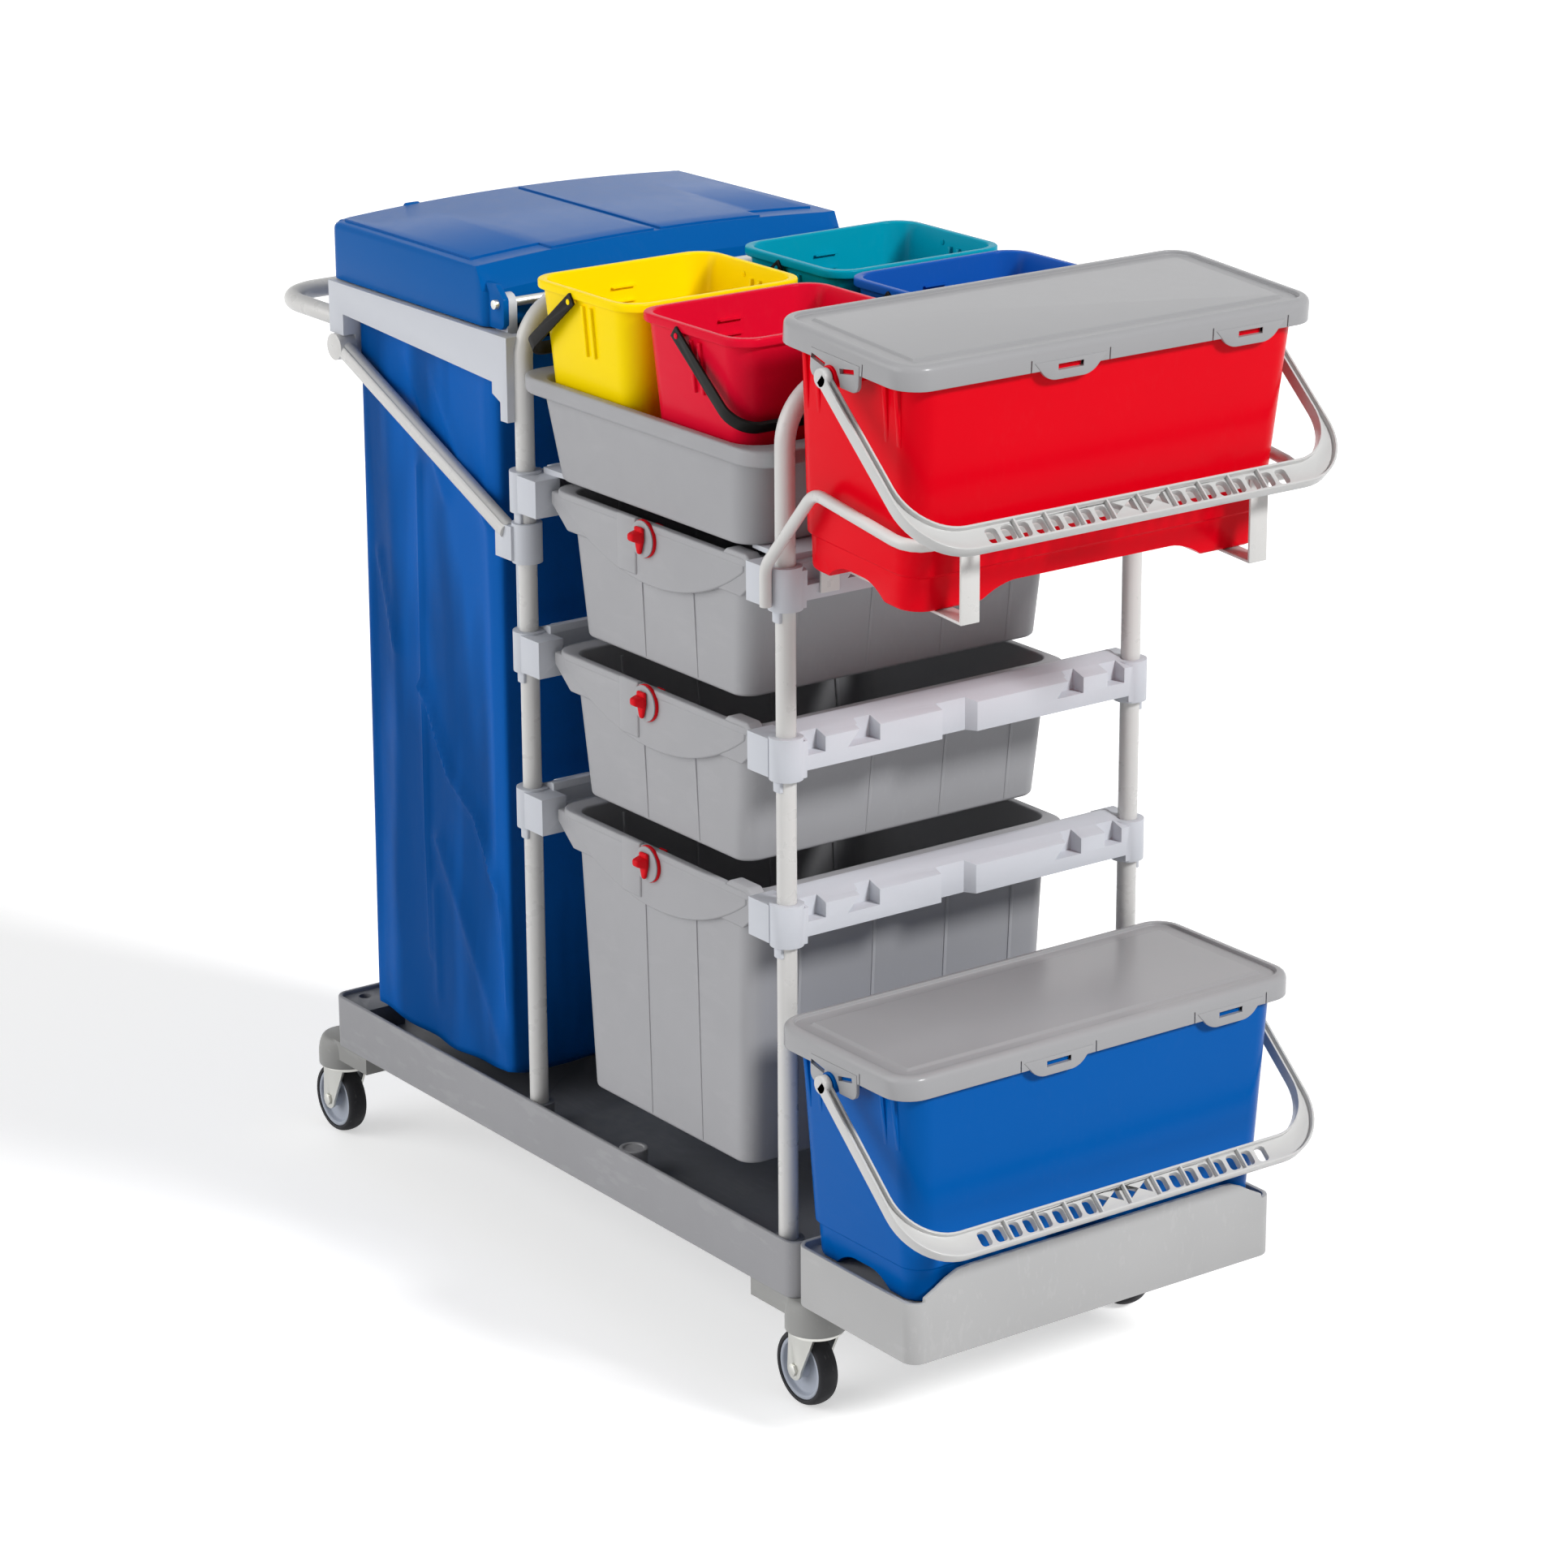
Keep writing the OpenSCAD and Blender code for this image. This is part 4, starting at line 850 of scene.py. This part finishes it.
class CART_OT_bag(bpy.types.Operator):
    """Waste bag, its frame, collars and lid"""
    bl_idname = "cart.bag"
    bl_label = "Bag end"

    def execute(self, context):
        refine("bag_frame", finish_named("rail"), edge=2 * MM)
        refine("brace_collars", finish_named("rail"))
        self.add_bag()
        self.add_lid()
        return {"FINISHED"}

    def add_bag(self):
        """A cloth shell lofted from the frame to its gathered bottom, creased as it hangs."""
        low, high = box_of("waste_bag")
        middle = (low + high) / 2
        half_x, half_y = (high.x - low.x) / 2, (high.y - low.y) / 2
        tall = high.z - low.z
        corner = 10 * MM
        around, rows = 288, 110
        outline = self.rounded_outline(half_x, half_y, corner, around)
        points = []
        for row in range(rows + 1):
            t = row / rows
            for x, y, nx, ny, along in outline:
                out = self.swell(x / half_x, y / half_y, ny, along, t, half_x, tall)
                lean = -9 * MM * (1 - t) ** 1.5 * max(0.0, -x / half_x)
                bow = (7 * (x / half_x) ** 2 - 1) * MM * (1 - t) ** 6
                points.append((middle.x + x + nx * out + lean, middle.y + y + ny * out,
                               low.z + t * tall + bow))
        for ring, (scale, drop) in enumerate(((0.93, -1), (0.7, 2), (0.45, 4), (0.2, 3))):
            for x, y, _, _, along in outline:
                wave = 2 * MM * math.sin(9 * along + 2 * ring)
                points.append((middle.x + x * scale, middle.y + y * scale, low.z + drop * MM + wave))
        points.append((middle.x, middle.y, low.z + 5 * MM))
        loops = [[(rows + 1 + r) * around + i for i in range(around)] for r in (3, 2, 1, 0)]
        loops += [[r * around + i for i in range(around)] for r in range(rows + 1)]
        faces = []
        for lower, upper in zip(loops, loops[1:]):
            for i in range(around):
                k = (i + 1) % around
                faces.append((lower[i], lower[k], upper[k], upper[i]))
        pole = len(points) - 1
        faces += [(pole, loops[0][(i + 1) % around], loops[0][i]) for i in range(around)]
        mesh = bpy.data.meshes.new("waste_bag.cloth")
        mesh.from_pydata(points, [], faces)
        bag = bpy.data.objects.new("waste_bag.cloth", mesh)
        bpy.context.scene.collection.objects.link(bag)
        with editing(bag):
            bpy.ops.mesh.select_all(action="SELECT")
            bpy.ops.mesh.normals_make_consistent(inside=False)
        make_active(bag)
        bpy.ops.object.shade_smooth()
        cloth = bag.modifiers.new("cloth", "SOLIDIFY")
        cloth.thickness = 0.8 * MM
        cloth.offset = -1
        bpy.ops.object.modifier_apply(modifier=cloth.name)
        dress(bag, finish_named("bag"), "frame", "bag", "waste_bag")

    def rounded_outline(self, half_x, half_y, corner, count):
        """Points round a rectangle with round corners: place, outward direction and angle."""
        lengths = [2 * (half_y - corner), 2 * (half_x - corner)] * 2
        bend = math.pi / 2 * corner
        total = sum(lengths) + 4 * bend
        outline = []
        for i in range(count):
            walk = total * i / count
            for side, length in enumerate(lengths):
                turn = Matrix.Rotation(side * math.pi / 2, 2)
                half_a, half_b = (half_x, half_y) if side % 2 == 0 else (half_y, half_x)
                if walk < length:
                    place, way = turn @ Vector((half_a, walk - length / 2)), turn @ Vector((1, 0))
                    break
                walk -= length
                if walk < bend:
                    way = turn @ Vector((math.cos(walk / corner), math.sin(walk / corner)))
                    place = turn @ Vector((half_a - corner, half_b - corner)) + corner * way
                    break
                walk -= bend
            outline.append((place.x, place.y, way.x, way.y, math.atan2(place.y, place.x)))
        return outline

    def swell(self, across, along_y, ny, along, t, half_x, tall):
        """How far the cloth stands out from its taut outline."""
        hang = math.sin(math.pi * min(1.0, 0.08 + 0.92 * t)) ** 0.5
        gather = 2.2 * math.sin(16 * along) * math.exp(-t * tall / (45 * MM))
        if ny < -0.9:
            calm = min(1.0, 9 * (1 - abs(across)))
            u, wide = (across + 1) / 2, 2 * half_x
            out = -5.5 * (0.5 + 0.5 * math.sin(7.0 * u + 0.8 * math.sin(4 * t))) - 1.5
            for height, width, path in BAG_CREASES:
                out += height * self.crease(u * wide, t * tall, width * MM, path, wide, tall)
            return (out * hang * calm + gather) * MM
        calm = min(1.0, 9 * (1 - (abs(along_y) if abs(ny) < 0.1 else abs(across))))
        broad = 0.5 + 0.5 * math.sin(5 * along + 0.9 * math.sin(2.2 * t) + 0.4)
        slant = 0.5 + 0.5 * math.sin(11 * along + 5.0 * t)
        return (-(9 * broad ** 1.6 + 5 * slant ** 2 * t) * hang * calm + gather) * MM

    def crease(self, x, z, width, path, wide, tall):
        """Ridge profile by the distance to a line of points, given as shares of width and height."""
        best = 1e9
        for (u0, v0), (u1, v1) in zip(path, path[1:]):
            start, run = Vector((u0 * wide, v0 * tall)), Vector(((u1 - u0) * wide, (v1 - v0) * tall))
            share = min(1.0, max(0.0, (Vector((x, z)) - start).dot(run) / run.length_squared))
            best = min(best, (Vector((x, z)) - start - share * run).length)
        return math.exp(-(best / width) ** 1.4)

    def add_lid(self):
        """Lid crowned across the cart, with two raised panels, hollow below, hung on the hinge rod."""
        low, high = box_of("bag_lid")
        hinge_x, _, hinge_z = joint("bag_lid_hinge")["pos_m"]
        half = high.y
        panel, crown = 2 * MM, 9 * MM
        edge_z = high.z - crown - panel
        skin_z = edge_z - 8 * MM
        front = hinge_x - 12 * MM
        bands = 38
        seams = [half * (2 * i / bands - 1) for i in range(bands + 1)]
        lid = block("bag_lid.finished", low, (front, high.y, edge_z))
        with editing(lid):
            round_edges(lid, lambda e: runs(e, UP) and e.verts[0].co.x < low.x + 1 * MM, 18 * MM, 6)
            round_edges(lid, lambda e: runs(e, UP) and e.verts[0].co.x > front - 1 * MM, 12 * MM, 5)
            round_edges(lid, lambda e: all(v.co.z > edge_z - 1 * MM for v in e.verts)
                        and any(v.co.x < front - 13 * MM for v in e.verts), 7 * MM, 4)
            for x in (low.x + 15 * MM, hinge_x - 60 * MM, hinge_x - 36 * MM, hinge_x - 32 * MM):
                slice_at(lid, (x, 0, 0), (1, 0, 0))
            for y in (*seams[1:-1], -4 * MM, 4 * MM):
                slice_at(lid, (0, y, 0), (0, 1, 0))
            for start, end in zip(seams, seams[1:]):
                start, end = start - 0.1 * MM, end - 0.1 * MM
                shift(lid, lambda v: start <= v.co.y < end and v.co.z > skin_z,
                      z=crown * (1 - (start / half) ** 2))
            shift(lid, lambda v: v.co.x > front - 14 * MM and v.co.z > skin_z, z=-24 * MM)
            for side in (-1, 1):
                pick(lid, "FACE", lambda f: f.normal.z > 0.7
                     and self.on_panel(f.calc_center_median(), side, low.x, hinge_x, half))
                extrude(z=panel)
            pick(lid, "FACE", lambda f: f.normal.z < -MOSTLY)
            bpy.ops.mesh.inset(thickness=3 * MM)
            extrude(z=30 * MM)
        soften(lid, 0.8 * MM)
        parts = [self.model_cheek(side, half, low.z, hinge_x, hinge_z) for side in (-1, 1)]
        for y in mm(-128, 52):
            nub = drum_at((low.x, y, high.z), "nub", 5, (9, -9, -7), (9, 9, -7), 24)
            parts.append(soften(nub, 2 * MM, 3))
        join(lid, *parts)
        dress(lid, finish_named("lid"), "bag_lid", "bag_lid", "bag_lid")

    def model_cheek(self, side, half, foot, hinge_x, hinge_z):
        """A plate at one end of the lid's front, which takes the hinge rod."""
        first, last = sorted((side * (half - 5 * MM), side * (half - 12 * MM)))
        cheek = block("cheek", (hinge_x - 40 * MM, first, foot),
                      (hinge_x + 12 * MM, last, hinge_z + 20 * MM))

        def at_front(edge):
            return runs(edge, ACROSS) and edge.verts[0].co.x > hinge_x

        with editing(cheek):
            round_edges(cheek, lambda e: at_front(e) and e.verts[0].co.z > hinge_z, 14 * MM, 1)
            round_edges(cheek, lambda e: at_front(e) and e.verts[0].co.z < hinge_z - 10 * MM, 8 * MM, 4)
        return soften(cheek, 1.2 * MM)

    def on_panel(self, place, side, rear, hinge_x, half):
        """True inside the raised panel on one side, whose front edge steps forward towards the middle."""
        y = place.y * side
        front = hinge_x - (60 * MM if y > 131 * MM else 36 * MM)
        return 4 * MM < y < half - 13 * MM and rear + 15 * MM < place.x < front


class CART_OT_buckets(bpy.types.Operator):
    """Large buckets, their lids and handles, rack and straps"""
    bl_idname = "cart.buckets"
    bl_label = "Buckets"

    def execute(self, context):
        body, lid, handle = self.model_body(), self.model_lid(), self.model_handle()
        for place in BUCKETS:
            axis = joint(f"bucket_{place}_lift")["axis"]
            turn = Matrix.Rotation(math.atan2(axis[0], axis[2]), 4, "Y")
            pivot = Vector(joint(f"bucket_handle_{place}_swing")["pos_m"])
            stand = Matrix.Translation(pivot - turn @ BUCKET_PIVOT) @ turn
            hang = Matrix.Translation(pivot) @ Matrix.Rotation(HANDLE_HANG, 4, "Y")
            for pattern, node, paint, slot, matrix in (
                    (body, "bucket_", place, "bucket_" + place, stand),
                    (lid, "bucket_lid_", "bucket_lid", "bucket_lid", stand),
                    (handle, "bucket_handle_", "grip", "bucket_handle", hang)):
                piece = copy_to(pattern, f"{node}{place}.finished", matrix)
                dress(piece, finish_named(paint), node + place, slot, node + place)
        for pattern in (body, lid, handle):
            bpy.data.objects.remove(pattern)
        refine("bucket_rack", finish_named("tube"))
        refine("rack_straps", finish_named("tube"), edge=0.8 * MM)
        return {"FINISHED"}

    def model_body(self):
        """A bucket standing at the origin on four feet with low arches between them."""
        body = tub("body", ORIGIN, 236 * MM, mm(176, 436), mm(192, 464), 28 * MM, 3 * MM, 20 * MM,
                   mm(198, 470), 10 * MM)
        step = 34 * MM
        with editing(body):
            for height in (step, 37 * MM):
                slice_at(body, (0, 0, height), (0, 0, 1))
            pick(body, "FACE", lambda f: f.calc_center_median().z < step and f.normal.z < MOSTLY
                 and (f.normal.z < -0.5 or f.normal.dot(f.calc_center_median()) > 0))
            bpy.ops.transform.resize(value=(0.968, 0.987, 1), center_override=ORIGIN)
        for low, high, tight in (((-120, -165, -20), (120, 165, 16), (1, 0.68)),
                                 ((-62, -260, -20), (62, 260, 16), (0.5, 1))):
            arch = block("arch", Vector(low) * MM, Vector(high) * MM)
            with editing(arch):
                shrink(arch, lambda v: v.co.z > 0, x=tight[0], y=tight[1])
                round_edges(arch, lambda e: all(v.co.z > 10 * MM for v in e.verts), 18 * MM, 6)
            shape_with(body, arch)
        soften(body, 1.6 * MM, 3)
        extras = []
        for side in (-1, 1):
            for x in (-70, -52, 52, 70):
                fin = block_at(ORIGIN, "fin", (x - 3, 205, 160), (x + 3, 236, 227))
                with editing(fin):
                    shift(fin, lambda v: v.co.z < 170 * MM and v.co.y > 220 * MM, y=-8 * MM)
                    mirror_to(side)
                extras.append(soften(fin, 1 * MM))
            for radius, start, end in ((11, 216, 252), (6, 220, 260)):
                boss = drum_at(ORIGIN, "boss", radius, (-8, side * start, 210), (-8, side * end, 210))
                extras.append(soften(boss, 1 * MM))
            for x in SIDE_SLOTS:
                low, high = sorted((side * 228, side * 245))
                extras.append(block_at(ORIGIN, "tab", (x - 12, low, 214), (x + 12, high, 225.5)))
        for y in FRONT_CLIPS:
            extras.append(block_at(ORIGIN, "tab", (92, y - 17, 217), (101, y + 17, 225.5)))
        return join(body, *extras)

    def model_lid(self):
        """A lid on a bucket that stands at the origin: rim, border, panel, skirt and clips."""
        seat = 236.3 * MM
        base = (0, 0, seat)
        lid = block_at(base, "lid", (-104.5, -248.5, -15), (104.5, 248.5, 9), 30, 8)
        with editing(lid):
            round_edges(lid, lambda e: all(v.co.z > seat + 8 * MM for v in e.verts), 7 * MM, 6)
            pick(lid, "FACE", lambda f: f.normal.z > LEVEL)
            bpy.ops.mesh.inset(thickness=3 * MM)
            extrude(z=-3.5 * MM)
            bpy.ops.mesh.inset(thickness=16 * MM)
            bpy.ops.mesh.inset(thickness=3 * MM)
            bpy.ops.transform.translate(value=(0, 0, 2.5 * MM))
            pick(lid, "FACE", lambda f: f.normal.z < -MOSTLY)
            bpy.ops.mesh.inset(thickness=3 * MM)
            extrude(z=15.4 * MM)
        soften(lid, 2 * MM, 3)
        clips, cuts = [], []
        for y in mm(*FRONT_CLIPS):
            spot = (0, y, seat)
            tongue = block_at(spot, "tongue", (101, -43, -25), (105.3, 43, -6))
            with editing(tongue):
                shrink(tongue, lambda v: v.co.z < seat - 20 * MM, y=0.6, about=(0, y, 0))
                round_edges(tongue, lambda e: runs(e, ALONG) and e.verts[0].co.z < seat - 20 * MM, 9 * MM, 5)
            clips.append(tongue)
            cuts.append(block_at(spot, "window", (90, -15, -16), (120, 15, -10)))
            for slit in (y - 47 * MM, y + 46 * MM):
                cuts.append(block_at((0, slit, seat), "slit", (90, 0, -20), (120, 1.5, -3)))
        for side in (-1, 1):
            clip = block_at(base, "clip", (-40, 245, -33), (34, 249.3, -6))
            with editing(clip):
                round_edges(clip, lambda e: runs(e, ACROSS) and e.verts[0].co.z < seat - 20 * MM, 9 * MM, 5)
                mirror_to(side)
            clips.append(clip)
            cuts.append(drum_at(base, "notch", 15, (-8, side * 230, -33), (-8, side * 260, -33), 24))
            for x, tilt in zip(SIDE_SLOTS, (0.2, -0.2)):
                slot = block_at((0, side * 245 * MM, 0), "slot", (-11, -12, -2.4), (11, 12, 2.4))
                place = Matrix.Translation((x * MM, 0, seat - 15.5 * MM))
                slot.data.transform(place @ Matrix.Rotation(tilt, 4, "Y"))
                cuts.append(slot)
            cuts.append(block_at((0, side * 247 * MM, seat), "slit", (37, -8, -20), (38.5, 8, -3)))
        for clip in clips:
            soften(clip, 0.8 * MM)
        tools = join(*cuts)
        front = join(*clips)
        copy = copy_to(tools, "tools", Matrix.Identity(4))
        shape_with(lid, tools)
        shape_with(front, copy)
        make_active(lid)
        bpy.ops.object.shade_smooth_by_angle(angle=SHARP)
        return join(lid, front)

    def model_handle(self):
        """A swing handle lying level from its pivots: channelled arms and a pierced grip."""
        bow = block_at(ORIGIN, "handle", (-209, -262, -6), (209, 262, 6), 62, 12)
        shape_with(bow, block_at(ORIGIN, "inner", (-183, -253, -20), (183, 253, 20), 53, 12))
        shape_with(bow, block_at(ORIGIN, "half", (-300, -300, -30), (0, 300, 30)))
        channel = block_at(ORIGIN, "channel", (-206.7, -259.7, 1), (206.7, 259.7, 20), 59.7, 12)
        island = block_at(ORIGIN, "island", (-185.3, -255.3, -9), (185.3, 255.3, 30), 55.3, 12)
        shape_with(bow, shape_with(channel, island))
        windows, ribs = [], []
        count, pitch, grip_x = 20, 18.4, 196
        for i in range(count):
            y = (i - (count - 1) / 2) * pitch * MM
            spot = (0, y, 0)
            if abs(y) < 40 * MM:
                x = grip_x + (3 if i % 2 else -3)
                window = drum_at(spot, "window", 8.6, (x, 0, -20), (x, 0, 20), 3)
                if i % 2:
                    about = Matrix.Translation((grip_x * MM, y, 0))
                    window.data.transform(about @ Matrix.Rotation(math.pi, 4, "Z") @ about.inverted())
            else:
                window = block_at(spot, "window", (188, -6.6, -20), (204, 6.6, 20), 4, 4)
            windows.append(window)
            if i % 2 and i < count - 1:
                ribs.append(block_at(spot, "rib", (184.5, 8.2, -1), (207.5, 10.2, 5.6)))
        shape_with(bow, join(*windows))
        soften(bow, 0.7 * MM)
        eyes = []
        for side in (-1, 1):
            eye = drum_at(ORIGIN, "eye", 9.5, (0, side * 253, 0), (0, side * 262, 0))
            eyes.append(soften(eye, 1.5 * MM, 3))
        return join(bow, *eyes, *ribs)


class CART_OT_stage(bpy.types.Operator):
    """Floor, light and camera"""
    bl_idname = "cart.stage"
    bl_label = "Stage"

    def execute(self, context):
        scene = context.scene
        scene.view_settings.view_transform = "Standard"
        self.add_floor()
        self.add_world(scene)
        self.add_sun("key", height=36, turn=108, strength=2.7, softness=12)
        self.add_sun("fill", height=18, turn=-22, strength=2.1, softness=60)
        self.add_camera(scene)
        return {"FINISHED"}

    def add_floor(self):
        """A pale floor that glows a little where it is seen, so that it shows white under the shadow."""
        deselect_all()
        bpy.ops.mesh.primitive_plane_add(size=80)
        floor = bpy.context.object
        floor.name = "floor"
        material = bpy.data.materials.new("floor")
        material.use_nodes = True
        tree = material.node_tree
        shader = tree.nodes["Principled BSDF"].inputs
        shader["Base Color"].default_value = (0.82, 0.82, 0.82, 1)
        shader["Roughness"].default_value = 0.9
        shader["Emission Color"].default_value = (1, 1, 1, 1)
        feed(tree, shader["Emission Strength"], calculate(tree, "MULTIPLY", self.seen_rays(tree), 0.5))
        floor.data.materials.append(material)

    def seen_rays(self, tree):
        """One for rays that show a surface in the picture or in a mirroring, nought for rays that light."""
        path = add_node(tree, "LightPath").outputs
        total = path["Is Camera Ray"]
        for label in ("Is Glossy Ray", "Is Transmission Ray"):
            total = calculate(tree, "ADD", total, path[label], clamp=True)
        return total

    def add_world(self, scene):
        """A white background that lights the cart at a lower level than it shows."""
        world = bpy.data.worlds.new("studio")
        world.use_nodes = True
        tree = world.node_tree
        background = tree.nodes["Background"].inputs
        background["Color"].default_value = (1, 1, 1, 1)
        level = add_node(tree, "MapRange", Value=self.seen_rays(tree), To_Min=0.22, To_Max=1.0)
        feed(tree, background["Strength"], level.outputs["Result"])
        scene.world = world

    def add_sun(self, name, height, turn, strength, softness):
        """A lamp whose height above the floor, turn about the upright and softness are in degrees."""
        rotation = (math.pi / 2 - math.radians(height), 0, math.radians(turn))
        bpy.ops.object.light_add(type="SUN", rotation=rotation)
        lamp = bpy.context.object
        lamp.name = name
        lamp.data.energy = strength
        lamp.data.angle = math.radians(softness)

    def add_camera(self, scene):
        view = scene.cart_view
        turn = (Matrix.Rotation(view.azimuth, 3, "Z") @ Matrix.Rotation(math.pi / 2 - view.elevation, 3, "X")
                @ Matrix.Rotation(view.roll, 3, "Z"))
        bpy.ops.object.camera_add(location=view.place, rotation=turn.to_euler())
        camera = bpy.context.object
        camera.data.sensor_width = SENSOR
        camera.data.lens = SENSOR * view.focal_px / PHOTO_SIDE
        camera.data.clip_end = 200
        scene.camera = camera


class CART_PT_pieces(bpy.types.Panel):
    """Lists the cart's operators"""
    bl_label = "Cart"
    bl_space_type = "VIEW_3D"
    bl_region_type = "UI"
    bl_category = "Cart"

    def draw(self, context):
        for operator in OPERATORS:
            self.layout.operator(operator.bl_idname)


GROUPS = {"cart_colours": CartColours, "cart_sizes": CartSizes, "cart_view": CartView}
OPERATORS = (CART_OT_stage, CART_OT_frame_tubes, CART_OT_castors, CART_OT_deck, CART_OT_rails, CART_OT_pails,
             CART_OT_drawers, CART_OT_bag, CART_OT_buckets)
CLASSES = (*GROUPS.values(), *OPERATORS, CART_PT_pieces)


def register():
    for item in CLASSES:
        bpy.utils.register_class(item)
    for name, group in GROUPS.items():
        setattr(bpy.types.Scene, name, bpy.props.PointerProperty(type=group))


def unregister():
    for name in GROUPS:
        delattr(bpy.types.Scene, name)
    for item in reversed(CLASSES):
        bpy.utils.unregister_class(item)


def main():
    register()
    for operator in OPERATORS:
        group, name = operator.bl_idname.split(".")
        getattr(getattr(bpy.ops, group), name)()


if __name__ == "__main__":
    main()
